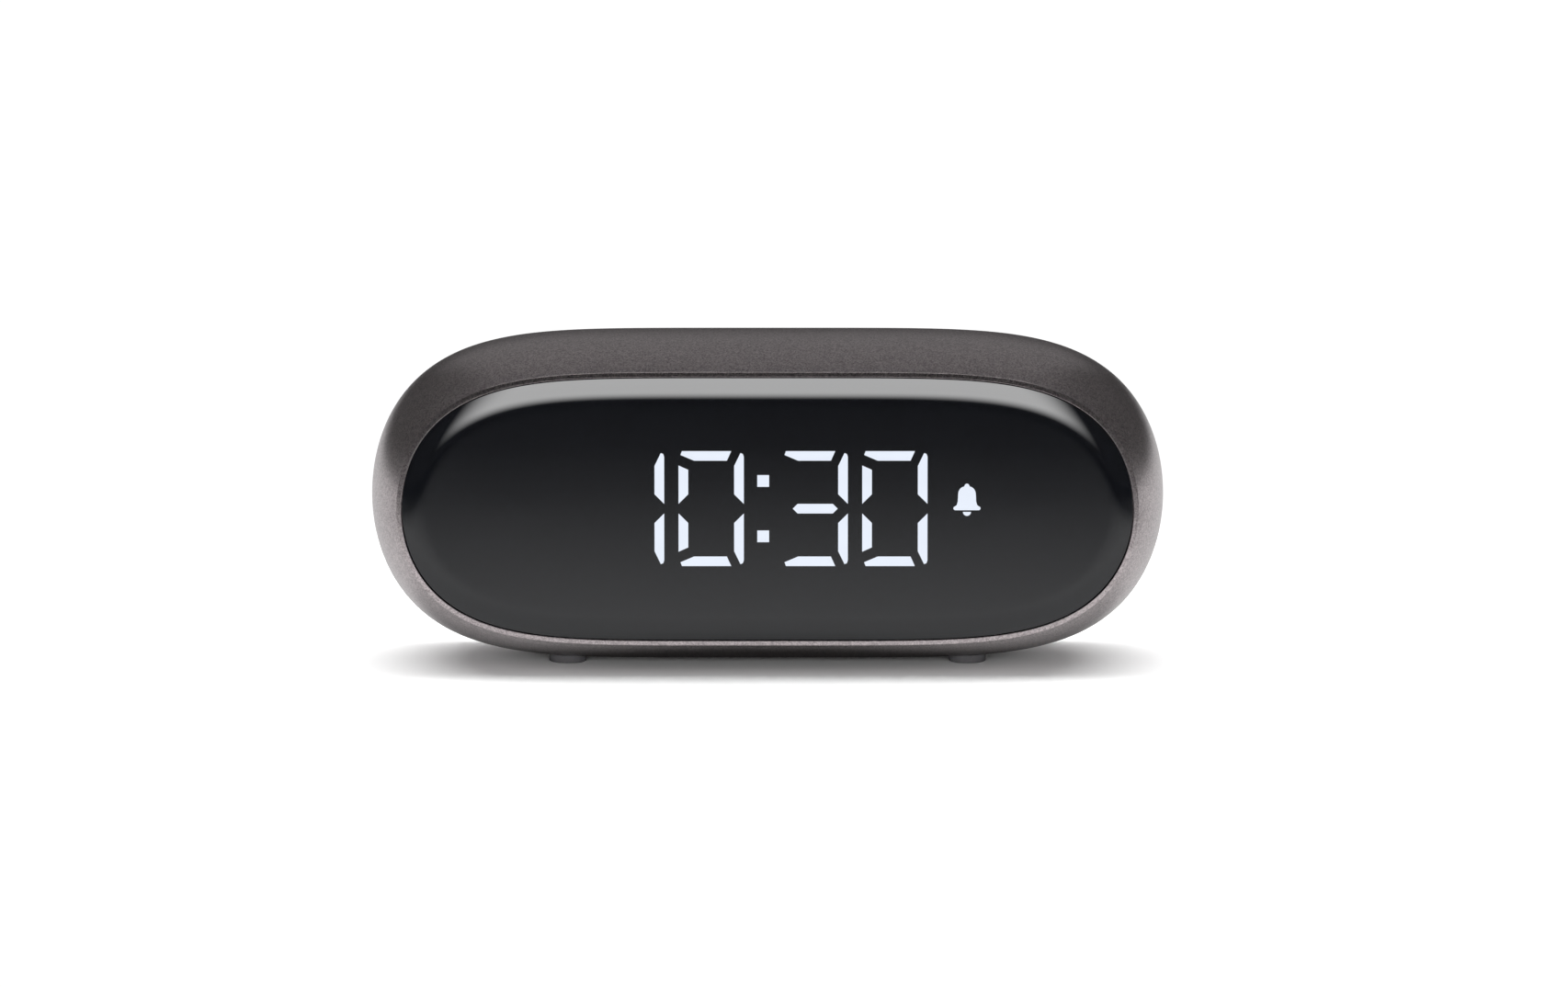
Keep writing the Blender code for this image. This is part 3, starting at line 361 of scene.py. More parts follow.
# Gold flash on the socket's contacts.
CONTACT_GOLD = Finish("gold_flashed_contacts", "d8b25a", "cda64c", 0.24, metallic=1.0, grain_mm=0.3,
                      grain_depth_mm=0.002, patch_mm=1.0)
# Polyester film of the diffuser and the flat cable.
POLYESTER_FILM = Finish("polyester_film", "e6e6e2", "dcdcd7", 0.38, grain_mm=2.0,
                        grain_depth_mm=0.004)


# ------------------------------------------------------------------ mesh helpers

def close_up(bm: Mesh) -> None:
    """Merge the doubles of a bmesh and turn its faces outwards."""
    bmesh.ops.remove_doubles(bm, verts=bm.verts, dist=1e-7)
    bmesh.ops.recalc_face_normals(bm, faces=bm.faces)


def put_in_scene(name: str, bm: Mesh) -> Item:
    """Turn a bmesh into an object in the scene.

    Args:
        name: the object's and the mesh's name.
        bm: the mesh, freed here.

    Returns:
        The new object.
    """
    mesh = bpy.data.meshes.new(name)
    bm.to_mesh(mesh)
    bm.free()
    item = bpy.data.objects.new(name, mesh)
    bpy.context.scene.collection.objects.link(item)
    return item


def add_part(bm: Mesh, part: Mesh) -> None:
    """Add a bmesh to another.

    Args:
        bm: the mesh to add to.
        part: the mesh added, freed here.
    """
    mesh = bpy.data.meshes.new("part")
    part.to_mesh(mesh)
    part.free()
    bm.from_mesh(mesh)
    bpy.data.meshes.remove(mesh)


def shade(mesh: bpy.types.Mesh, sharp_angle: float) -> None:
    """Shade a mesh smooth but for edges that turn by more than sharp_angle degrees."""
    mesh.shade_smooth()
    mesh.set_sharp_from_angle(angle=math.radians(sharp_angle))


def finish_piece(name: str, bm: Mesh, finish: Finish, sharp_angle: float = 35.0) -> Item:
    """Close a bmesh into a smooth-shaded object with its finish.

    Args:
        name: the piece's name.
        bm: the mesh, freed here.
        finish: its surface.
        sharp_angle: edges that turn by more than this many degrees stay sharp.

    Returns:
        The new object.
    """
    close_up(bm)
    piece = put_in_scene(name, bm)
    shade(piece.data, sharp_angle)
    piece.data.materials.append(finish.material())
    LOG.info("built %s with %d faces", name, len(piece.data.polygons))
    return piece


@dataclass
class PillOutline:
    """The clock's outline, |x/a|^power + |z/b|^2 = 1, as evenly turning points."""

    points: int = 256
    power: float = 5.4
    join: float = 0.8
    samples: int = 400

    def quarter(self, half_width: float, half_height: float) -> list[Point]:
        """Space points finely along a quarter of the outline.

        Args:
            half_width: half the outline's width.
            half_height: half its height.

        Returns:
            Points (x, z) from the top centre to the right-hand end.
        """
        top = []
        for step in range(self.samples + 1):
            x = self.join * half_width * step / self.samples
            top.append((x, half_height * math.sqrt(1 - (x / half_width) ** self.power)))
        side = []
        for step in range(1, self.samples + 1):
            z = top[-1][1] * (1 - step / self.samples)
            side.append((half_width * (1 - (z / half_height) ** 2) ** (1 / self.power), z))
        return top + side

    def around(self, half_width: float, half_height: float) -> list[Point]:
        """Return the whole outline, closer together where it turns.

        Args:
            half_width: half the outline's width.
            half_height: half its height.

        Returns:
            Points (x, z), starting at the top centre and going right.
        """
        dense = self.quarter(half_width, half_height)
        runs = [math.dist(a, b) for a, b in zip(dense, dense[1:])]
        headings = [math.atan2(b[1] - a[1], b[0] - a[0]) for a, b in zip(dense, dense[1:])]
        turns = [0.0] + [abs(b - a) for a, b in zip(headings, headings[1:])]
        reach, total_run, total_turn = [0.0], sum(runs), sum(turns)
        for run, turn in zip(runs, turns):
            reach.append(reach[-1] + run / total_run + turn / total_turn)
        count = self.points // 4
        picked, at = [], 0
        for step in range(count + 1):
            goal = reach[-1] * step / count
            while at < len(reach) - 2 and reach[at + 1] < goal:
                at += 1
            share = (goal - reach[at]) / (reach[at + 1] - reach[at])
            share = min(1.0, max(0.0, share))
            picked.append(tuple(p + (q - p) * share for p, q in zip(dense[at], dense[at + 1])))
        right = picked + [(x, -z) for x, z in reversed(picked[:-1])]
        return right + [(-x, z) for x, z in reversed(right[1:-1])]


@dataclass
class RoundedOutline:
    """A rectangle with round corners, or a circle when they meet; its straight runs stay as it grows."""

    half_width: float
    half_height: float
    radius: float
    points: int = 48

    def around(self, half_width: float, half_height: float) -> list[Point]:
        """Grow the outline to a size.

        Args:
            half_width: half the grown outline's width.
            half_height: half its height.

        Returns:
            Points (x, z) from the right-hand top corner on.
        """
        grow = half_width - self.half_width
        radius = self.radius + grow
        quarter = self.points // 4
        points = []
        for corner, (right, up) in enumerate(((1, 1), (-1, 1), (-1, -1), (1, -1))):
            for step in range(quarter):
                angle = math.radians(90 * (corner + (step + 0.5) / quarter))
                points.append((right * (half_width - radius) + radius * math.cos(angle),
                               up * (half_height - radius) + radius * math.sin(angle)))
        return points


@dataclass
class Loft:
    """A solid or tube drawn through outlines by extruding one ring from section to section."""

    centre_z: float
    outline: PillOutline | RoundedOutline = field(default_factory=PillOutline)
    centre_x: float = 0.0

    def place(self, verts: Sequence[bmesh.types.BMVert], section: Section) -> None:
        """Move a ring's vertices onto a section.

        Args:
            verts: the ring, in the outline's order.
            section: half width, half height and y.
        """
        half_width, half_height, y = section
        for vert, (x, z) in zip(verts, self.outline.around(half_width, half_height)):
            vert.co = (self.centre_x + x, y, self.centre_z + z)

    def draw(self, sections: Sequence[Section], cap_first: bool = False,
             cap_last: bool = False) -> Mesh:
        """Extrude a ring through the sections.

        Args:
            sections: outlines (half width, half height, y), in order.
            cap_first: close the first ring with a face.
            cap_last: close the last ring with a face.

        Returns:
            The mesh, open where it isn't capped.
        """
        bm = bmesh.new()
        made = bmesh.ops.create_circle(bm, segments=self.outline.points, radius=1.0)
        verts = sorted(made["verts"], key=lambda vert: math.atan2(vert.co.x, vert.co.y) % math.tau)
        self.place(verts, sections[0])
        edges = [bm.edges.get(pair) for pair in zip(verts, verts[1:] + verts[:1])]
        if cap_first:
            bmesh.ops.contextual_create(bm, geom=edges)
        for section in sections[1:]:
            grown = bmesh.ops.extrude_edge_only(bm, edges=edges)["geom"]
            fresh = {part for part in grown if isinstance(part, bmesh.types.BMVert)}
            verts = [next(edge.other_vert(vert) for edge in vert.link_edges
                          if edge.other_vert(vert) in fresh) for vert in verts]
            self.place(verts, section)
            edges = [bm.edges.get(pair) for pair in zip(verts, verts[1:] + verts[:1])]
        if cap_last:
            bmesh.ops.contextual_create(bm, geom=edges)
        return bm


def arc(radius: float, start: float, end: float, steps: int, centre: Point = (0.0, 0.0)) -> list[Point]:
    """Space points evenly on a circle.

    Args:
        radius: the circle's radius.
        start: the first point's angle, in degrees.
        end: the last point's angle.
        steps: how many steps lie between them.
        centre: the circle's centre.

    Returns:
        The points, both ends among them.
    """
    angles = [math.radians(start + (end - start) * step / steps) for step in range(steps + 1)]
    return [(centre[0] + radius * math.cos(angle), centre[1] + radius * math.sin(angle))
            for angle in angles]


def add_plate(bm: Mesh, points: Sequence[Point], outer: Callable[[float, float], float],
              depth: float) -> None:
    """Add a thin plate over a polygon (x, z), with its face on a curved surface.

    Args:
        bm: the mesh to add to.
        points: the polygon.
        outer: depth y of the plate's face at (x, z).
        depth: from the face to the plate's back, along Y.
    """
    made = [bm.verts.new((x, outer(x, z), z)) for x, z in points]
    grown = bmesh.ops.extrude_face_region(bm, geom=[bm.faces.new(made)])["geom"]
    fresh = [part for part in grown if isinstance(part, bmesh.types.BMVert)]
    bmesh.ops.translate(bm, vec=(0.0, depth, 0.0), verts=fresh)


def add_turned(bm: Mesh, profile: Sequence[Point], place: Vector, axis: str = "Y",
               steps: int = 64) -> None:
    """Spin a profile of (radius, height) points about an axis through place.

    Args:
        bm: the mesh to add to.
        profile: points from the axis out and back to it.
        place: a point on the axis; heights are added to it.
        axis: "Y" or "Z".
        steps: how many faces go round.
    """
    upright = axis == "Z"
    spots = [(radius, 0.0, height) if upright else (radius, height, 0.0) for radius, height in profile]
    verts = [bm.verts.new(place + Vector(spot)) for spot in spots]
    edges = [bm.edges.new(pair) for pair in zip(verts, verts[1:])]
    bmesh.ops.spin(bm, geom=verts + edges, cent=place, axis=(0, 0, 1) if upright else (0, 1, 0),
                   angle=math.tau, steps=steps, use_merge=True)


def carve(piece: Item, tool_mesh: Mesh, sharp_angle: float = 35.0) -> None:
    """Cut a tool out of a piece for good.

    Args:
        piece: the object to cut.
        tool_mesh: the tool, freed here.
        sharp_angle: edges that turn by more than this many degrees stay sharp.
    """
    close_up(tool_mesh)
    tool = put_in_scene("tool", tool_mesh)
    modifier = piece.modifiers.new("cut", "BOOLEAN")
    modifier.operation = "DIFFERENCE"
    modifier.solver = "EXACT"
    modifier.object = tool
    solid, tool_data = piece.data, tool.data
    graph = bpy.context.evaluated_depsgraph_get()
    piece.data = bpy.data.meshes.new_from_object(piece.evaluated_get(graph))
    piece.modifiers.clear()
    bpy.data.objects.remove(tool, do_unlink=True)
    for spare in (tool_data, solid):
        bpy.data.meshes.remove(spare)
    piece.data.name = piece.name
    shade(piece.data, sharp_angle)


def bell_outline(scale: float = 1.0) -> list[Point]:
    """Draw a bell in profile: knob, dome and flared skirt with round ends.

    Args:
        scale: one for a bell about 4 mm wide.

    Returns:
        The outline about the bell's middle, in metres.
    """
    knob = arc(0.35, 20, 160, 4, (0.0, 2.0))
    dome = [(-0.35 - 0.95 * math.sin(math.radians(angle)), 0.75 + 1.15 * math.cos(math.radians(angle)))
            for angle in (5, 20, 35, 50, 65, 80, 90)]
    skirt = [(-1.35, -0.3), (-1.5, -0.85), (-1.95, -1.15), (-2.0, -1.4), (-1.8, -1.6)]
    left = dome + skirt
    points = knob + left + [(-x, z) for x, z in reversed(left)]
    return [(scale * x * MM, scale * z * MM) for x, z in points]


def clapper_outline(scale: float = 1.0) -> list[Point]:
    """The half-round clapper under the bell."""
    return arc(0.6 * MM * scale, 180, 360, 8, (0.0, -1.85 * MM * scale))


def ring_outline(radius: float, stroke: float) -> list[Point]:
    """A thin ring as one polygon, with a hairline slit at its right."""
    return arc(radius, 1, 359, 40) + arc(radius - stroke, 359, 1, 40)


def moved(points: Sequence[Point], centre: Point) -> list[Point]:
    """Points shifted by centre."""
    return [(x + centre[0], z + centre[1]) for x, z in points]


def settle(piece: Item, body: Body, slot: str, *nodes: str) -> Item:
    """Ride a piece on its body, in place of CAD nodes if any are named.

    Args:
        piece: the finished piece.
        body: the body that it moves with.
        slot: the record's material slot; not used.
        *nodes: the CAD nodes that it stands for.

    Returns:
        The piece.
    """
    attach(piece, body.value)
    if nodes:
        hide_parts(*nodes)
    return piece


# ------------------------------------------------------------------ shell

@dataclass
class Shell:
    """The one-piece painted shell, from its crisp front rim over the widest section to the back lip."""

    front_flare: float = 3.7 * MM
    rear_flare: float = 5.5 * MM
    flare_power: float = 2.2
    widest_depth: float = 16.5 * MM
    rim_width: float = 0.7 * MM
    rim_rise: float = 0.15 * MM
    rim_bevel: float = 0.12 * MM
    rim_inside: tuple[Point, ...] = ((0.0, 0.06 * MM), (0.02 * MM, 0.02 * MM), (0.06 * MM, 0.0),
                                     (0.12 * MM, 0.015 * MM))
    mouth_bevel: float = 0.1 * MM
    rear_lip: float = 1.2 * MM
    lip_round: float = 0.35 * MM
    lens_gap: float = 0.12 * MM
    pocket_depth: float = 2.2 * MM
    ledge_width: float = 3.2 * MM
    ledge_thickness: float = 3.4 * MM
    wall: float = 2.0 * MM
    rear_ledge_depth: float = 1.9 * MM
    rear_ledge_width: float = 1.8 * MM
    rear_ledge_thickness: float = 1.4 * MM
    front_steps: int = 26
    rear_steps: int = 26
    inner_steps: int = 8

    def __post_init__(self) -> None:
        """Read the shell's box from the frame."""
        low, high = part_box("housing")
        self.half_width = (high[0] - low[0]) / 2
        self.half_height = (high[2] - low[2]) / 2
        self.centre_z = (high[2] + low[2]) / 2
        self.rim_y = low[1] + self.rim_rise
        self.lip_y = high[1]
        self.widest_y = self.rim_y + self.widest_depth

    def flare_at(self, y: float) -> float:
        """Work out how far the outer skin has drawn in from its widest section.

        Args:
            y: the depth of the section.

        Returns:
            The distance, in metres.
        """
        if y < self.widest_y:
            return self.front_flare * ((self.widest_y - y) / self.widest_depth) ** self.flare_power
        return self.rear_flare * ((y - self.widest_y) / (self.lip_y - self.widest_y)) ** self.flare_power

    def section(self, y: float, inset: float = 0.0) -> Section:
        """The outer skin's outline at depth y, moved in by inset."""
        inset += self.flare_at(y)
        return (self.half_width - inset, self.half_height - inset, y)

    def inset(self, inset: float, y: float) -> Section:
        """The widest outline moved in by inset, at depth y."""
        return (self.half_width - inset, self.half_height - inset, y)

    def sections(self) -> list[Section]:
        """Draw the shell's section as one closed loop, from the lens pocket over the skin and back inside.

        Returns:
            The outlines, in order, the first one again at the end.
        """
        pocket = self.front_flare + self.rim_width
        rings = [self.inset(pocket + self.ledge_width, self.rim_y + self.pocket_depth),
                 self.inset(pocket, self.rim_y + self.pocket_depth)]
        rings += [self.inset(pocket - across, self.rim_y - self.rim_rise + along)
                  for across, along in self.rim_inside]
        bevel = self.rim_bevel
        rings.append(self.inset(self.front_flare + 1.6 * bevel, self.rim_y - 0.1 * bevel))
        for share in (0.0, 0.25, 0.5, 0.75, 1.0):
            rings.append(self.inset(self.front_flare + bevel * (1 - share) ** 1.5,
                                    self.rim_y + bevel * share ** 1.5))
        start = self.rim_y + bevel
        for step in range(1, self.front_steps + 1):
            y = start + (self.widest_y - start) * (step / self.front_steps)
            rings.append(self.section(y))
        end = self.lip_y - self.lip_round
        for step in range(1, self.rear_steps + 1):
            rings.append(self.section(self.widest_y + (end - self.widest_y) * step / self.rear_steps))
        edge = self.flare_at(end)
        for across, along in arc(self.lip_round, 0, 90, 5)[1:]:
            rings.append(self.inset(edge + self.lip_round - across, end + along))
        mouth = self.rear_flare + self.rear_lip
        ledge_back = self.lip_y - self.rear_ledge_depth
        rings += [self.inset(mouth - self.mouth_bevel, self.lip_y),
                  self.inset(mouth, self.lip_y - self.mouth_bevel),
                  self.inset(mouth, ledge_back), self.inset(mouth + self.rear_ledge_width, ledge_back),
                  self.inset(mouth + self.rear_ledge_width, ledge_back - self.rear_ledge_thickness)]
        return rings + self.inner_sections(ledge_back - self.rear_ledge_thickness) + rings[:1]

    def inner_sections(self, rear_y: float) -> list[Section]:
        """Draw the cavity, from the rear ledge forward to the back of the lens's ledge.

        Args:
            rear_y: depth of the rear ledge's front.

        Returns:
            The cavity's outlines, in order.
        """
        front_y = self.rim_y + self.pocket_depth + self.ledge_thickness
        rings = []
        for step in range(self.inner_steps + 1):
            y = rear_y + (front_y - rear_y) * step / self.inner_steps
            rings.append(self.section(y, self.wall))
        pocket = self.front_flare + self.rim_width + self.ledge_width
        return rings + [self.inset(pocket, front_y)]

    def build(self) -> Item:
        """Make the painted shell and put it in the housing's place.

        Returns:
            The shell.
        """
        bm = Loft(self.centre_z).draw(self.sections())
        piece = finish_piece("shell_skin", bm, GUNMETAL_PAINT, sharp_angle=50)
        return settle(piece, Body.CASE, "shell", "housing")


# ------------------------------------------------------------------ lens and figures

@dataclass
class Lens:
    """The smoked lens: a gentle crown over the middle that rolls off quickly at its rim."""

    shell: Shell
    crown: float = 0.18 * MM
    roll_width: float = 3.5 * MM
    roll_steps: int = 18
    crown_steps: int = 24

    def __post_init__(self) -> None:
        """Read the lens's box from the frame."""
        low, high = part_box("front_lens")
        self.back = high[1]
        self.apex = low[1]
        inset = self.shell.front_flare + self.shell.rim_width + self.shell.lens_gap
        self.half_width = self.shell.half_width - inset
        self.half_height = self.shell.half_height - inset
        self.edge_y = self.shell.rim_y - 0.02 * MM

    def drop(self, inset: float) -> float:
        """How far the surface lies behind the apex at a distance in from the rim.

        Args:
            inset: distance from the lens's edge, in metres.

        Returns:
            The drop: the crown's parabola plus the round edge's circle.
        """
        share = 1 - min(inset, self.half_height) / self.half_height
        fall = self.crown * share ** 2
        roll = self.edge_y - self.apex - self.crown
        radius = (self.roll_width ** 2 + roll ** 2) / (2 * roll)
        into = max(0.0, self.roll_width - inset)
        return fall + radius - math.sqrt(radius ** 2 - into ** 2)

    def insets(self) -> list[float]:
        """Space the lens's rings, close together on the roll-off.

        Returns:
            Their distances in from the rim.
        """
        roll = [self.roll_width * (step / self.roll_steps) ** 1.5 for step in range(self.roll_steps + 1)]
        rest = 0.985 * self.half_height - self.roll_width
        return roll + [self.roll_width + rest * step / self.crown_steps
                       for step in range(1, self.crown_steps + 1)]

    def build(self) -> Item:
        """Make the lens and put it in the CAD lens's place.

        Returns:
            The lens.
        """
        sections = [(self.half_width, self.half_height, self.back)]
        for inset in self.insets():
            sections.append((self.half_width - inset, self.half_height - inset,
                             self.apex + self.drop(inset)))
        bm = Loft(self.shell.centre_z).draw(sections, cap_first=True, cap_last=True)
        piece = finish_piece("lens_skin", bm, SMOKED_ACRYLIC, sharp_angle=60)
        return settle(piece, Body.CASE, "lens", "front_lens")


@dataclass
class Figures:
    """The lit symbols: four seven-segment figures, a colon and a bell, just proud of the lens."""

    shell: Shell
    lens: Lens
    width: float = 9.1 * MM
    height: float = 16.2 * MM
    stroke: float = 1.35 * MM
    pitch: float = 11.1 * MM
    middle: Point = (-0.6 * MM, 0.25 * MM)
    colon_space: float = 5.4 * MM
    colon_dot: float = 1.65 * MM
    colon_rise: float = 3.9 * MM
    bell_offset: float = 28.4 * MM
    bell_rise: float = 1.3 * MM
    proud: float = 0.03 * MM
    thickness: float = 0.12 * MM
    symbol_scale: float = 0.95
    time_shown: str = "1030"
    strokes_of: dict[str, str] = field(default_factory=lambda: {
        "0": "abcdef", "1": "bc", "3": "abcdg"})

    def stroke_outlines(self) -> dict[str, list[Point]]:
        """Draw the seven strokes of one figure.

        Returns:
            Polygons about the cell's middle, by the stroke's letter.
        """
        w, h, t = self.width / 2, self.height / 2, self.stroke
        slit = t / 2
        top = [(-w + 0.35 * t, h), (w - 1.3 * t, h), (w - 1.75 * t, h - t), (-w + 1.6 * t, h - t),
               (-w + 0.2 * t, h - 0.4 * t)]
        right = [(w - 0.35 * t, h - 0.2 * t), (w - 0.1 * t, h - 0.3 * t), (w, h - 0.6 * t), (w, slit),
                 (w - t, slit + t), (w - t, h - 1.55 * t)]
        left = [(-w, h - 1.5 * t), (-w, slit), (-w + t, slit + t), (-w + t, h - 1.95 * t)]
        middle = [(-w + 1.05 * t, 0), (-w + 1.55 * t, t / 2), (w - 1.55 * t, t / 2),
                  (w - 1.05 * t, 0), (w - 1.55 * t, -t / 2), (-w + 1.55 * t, -t / 2)]
        flip = {letter: [(x, -z) for x, z in reversed(points)]
                for letter, points in (("d", top), ("c", right), ("e", left))}
        return {"a": top, "b": right, "f": left, "g": middle, **flip}

    def lens_surface(self, x: float, z: float) -> float:
        """Depth y of a lit plate's face over (x, z), a hair in front of the lens."""
        inset = self.lens.half_height - abs(z - self.shell.centre_z)
        return self.lens.apex + self.lens.drop(inset) - self.proud

    def make(self, name: str, outlines: Iterable[Sequence[Point]], centre: Point) -> None:
        """Build one lit symbol.

        Args:
            name: the piece's name.
            outlines: its polygons about its middle.
            centre: its place about the middle of the display.
        """
        bm = bmesh.new()
        place = (centre[0] + self.middle[0], centre[1] + self.middle[1] + self.shell.centre_z)
        for points in outlines:
            add_plate(bm, moved(points, place), self.lens_surface, self.proud + self.thickness)
        settle(finish_piece(name, bm, LED_LIGHT, sharp_angle=30), Body.CASE, "film")

    def build(self) -> None:
        """Make every lit symbol."""
        strokes = self.stroke_outlines()
        near = self.colon_space / 2 + self.width / 2
        centres = (-near - self.pitch, -near, near, near + self.pitch)
        for order, (digit, x) in enumerate(zip(self.time_shown, centres), start=1):
            self.make(f"lit_figure_{order}", [strokes[letter] for letter in self.strokes_of[digit]],
                      (x, 0.0))
        dot = self.colon_dot / 2
        square = [(-dot, -dot), (dot, -dot), (dot, dot), (-dot, dot)]
        for word, side in (("upper", 1), ("lower", -1)):
            self.make(f"lit_colon_{word}", [square], (0.0, side * self.colon_rise))
        self.make("lit_bell", [bell_outline(self.symbol_scale), clapper_outline(self.symbol_scale)],
                  (self.bell_offset, self.bell_rise))


# ------------------------------------------------------------------ rear cover and controls

@dataclass(frozen=True)
class Opening:
    """A round or rounded-rectangular opening in the rear cover, with a fine chamfer round it."""

    place: Point
    half_width: float
    half_height: float
    radius: float
    floor: float
    face: float
    chamfer: float = 0.12 * MM

    def add_tool(self, bm: Mesh, centre_z: float) -> None:
        """Add the solid that cuts this opening.

        Args:
            bm: the mesh to add to.
            centre_z: height of the cover's middle.
        """
        outline = RoundedOutline(self.half_width, self.half_height, self.radius)
        loft = Loft(centre_z + self.place[1], outline, self.place[0])
        above = self.face + 1.0 * MM
        sections = [(self.half_width + grow, self.half_height + grow, y) for grow, y in (
            (0.0, self.floor), (0.0, self.face - self.chamfer), (self.chamfer, self.face),
            (self.chamfer, above))]
        add_part(bm, loft.draw(sections, cap_first=True, cap_last=True))


@dataclass
class RearCover:
    """The flat rear cover: round edge, sunk control field, and openings for everything behind it."""

    shell: Shell
    edge_inset: float = 6.95 * MM
    edge_round: float = 1.0 * MM
    edge_steps: int = 8
    field_centre: Point = (0.4 * MM, 5.0 * MM)
    field_half: Point = (34.0 * MM, 5.1 * MM)
    field_sink: float = 0.25 * MM
    key_hole: float = 3.45 * MM
    slot_half: Point = (2.75 * MM, 1.35 * MM)
    slot_centre: Point = (25.0 * MM, 5.0 * MM)
    slot_corner: float = 0.6 * MM
    socket_half: Point = (4.75 * MM, 1.9 * MM)
    socket_corner: float = 1.7 * MM
    socket_chamfer: float = 0.3 * MM
    socket_place: Point = (0.0, -6.5 * MM)
    sound_place: Point = (23.0 * MM, -5.5 * MM)
    sound_hole: float = 0.6 * MM
    sound_pitch: float = 2.4 * MM
    screw_place: Point = (40.0 * MM, 7.0 * MM)
    screw_hole: float = 2.1 * MM
    screw_chamfer: float = 0.2 * MM
    screw_floor: float = 0.3 * MM
    thickness: float = 2.6 * MM

    def __post_init__(self) -> None:
        """Read the cover's depths from the frame."""
        self.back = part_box("rear_cover")[1][1]
        self.inner = self.back - self.thickness
        self.centre_z = self.shell.centre_z

    def key_places(self) -> list[Point]:
        """Find the four keys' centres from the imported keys' boxes.

        Returns:
            The centres about the cover's middle.
        """
        places = []
        for key in Key:
            low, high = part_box(key.value + "_button")
            places.append(((low[0] + high[0]) / 2, (low[2] + high[2]) / 2 - self.centre_z))
        return places

    def openings(self) -> list[Opening]:
        """List the cover's openings: sunk field, keys, slot, socket, sound holes and screws.

        Returns:
            The openings, the sunk field first.
        """
        sunk = self.back - self.field_sink
        through = self.inner - 1.0 * MM
        radius = self.field_half[1]
        found = [Opening(self.field_centre, *self.field_half, radius, sunk, self.back)]
        found += [Opening(place, self.key_hole, self.key_hole, self.key_hole, through, sunk)
                  for place in self.key_places()]
        found.append(Opening(self.slot_centre, *self.slot_half, self.slot_corner, through, sunk))
        found.append(Opening(self.socket_place, *self.socket_half, self.socket_corner, through, self.back,
                             self.socket_chamfer))
        spots = [self.sound_place] + moved(arc(self.sound_pitch, 0, 300, 5), self.sound_place)
        found += [Opening(spot, self.sound_hole, self.sound_hole, self.sound_hole, through, self.back)
                  for spot in spots]
        x, z = self.screw_place
        recess = self.inner + self.screw_floor
        found += [Opening((right * x, up * z), self.screw_hole, self.screw_hole, self.screw_hole,
                          recess, self.back, self.screw_chamfer) for right in (1, -1) for up in (1, -1)]
        return found

    def build(self) -> Item:
        """Make the cover and put it in the CAD cover's place.

        Returns:
            The cover.
        """
        wide, high = self.shell.half_width - self.edge_inset, self.shell.half_height - self.edge_inset
        start = self.back - self.edge_round
        sections = [(wide, high, self.inner), (wide, high, start - 0.1 * MM)]
        for across, along in arc(self.edge_round, 0, 90, self.edge_steps):
            inset = self.edge_round - across
            sections.append((wide - inset, high - inset, start + along))
        inset = self.edge_round + 0.15 * MM
        sections.append((wide - inset, high - inset, self.back))
        bm = Loft(self.centre_z).draw(sections, cap_first=True, cap_last=True)
        piece = finish_piece("cover_skin", bm, COVER_ABS)
        field_tool, holes = self.openings()[0], self.openings()[1:]
        for group in ([field_tool], holes):
            tool = bmesh.new()
            for opening in group:
                opening.add_tool(tool, self.centre_z)
            carve(piece, tool)
        return settle(piece, Body.CASE, "cover", "rear_cover")


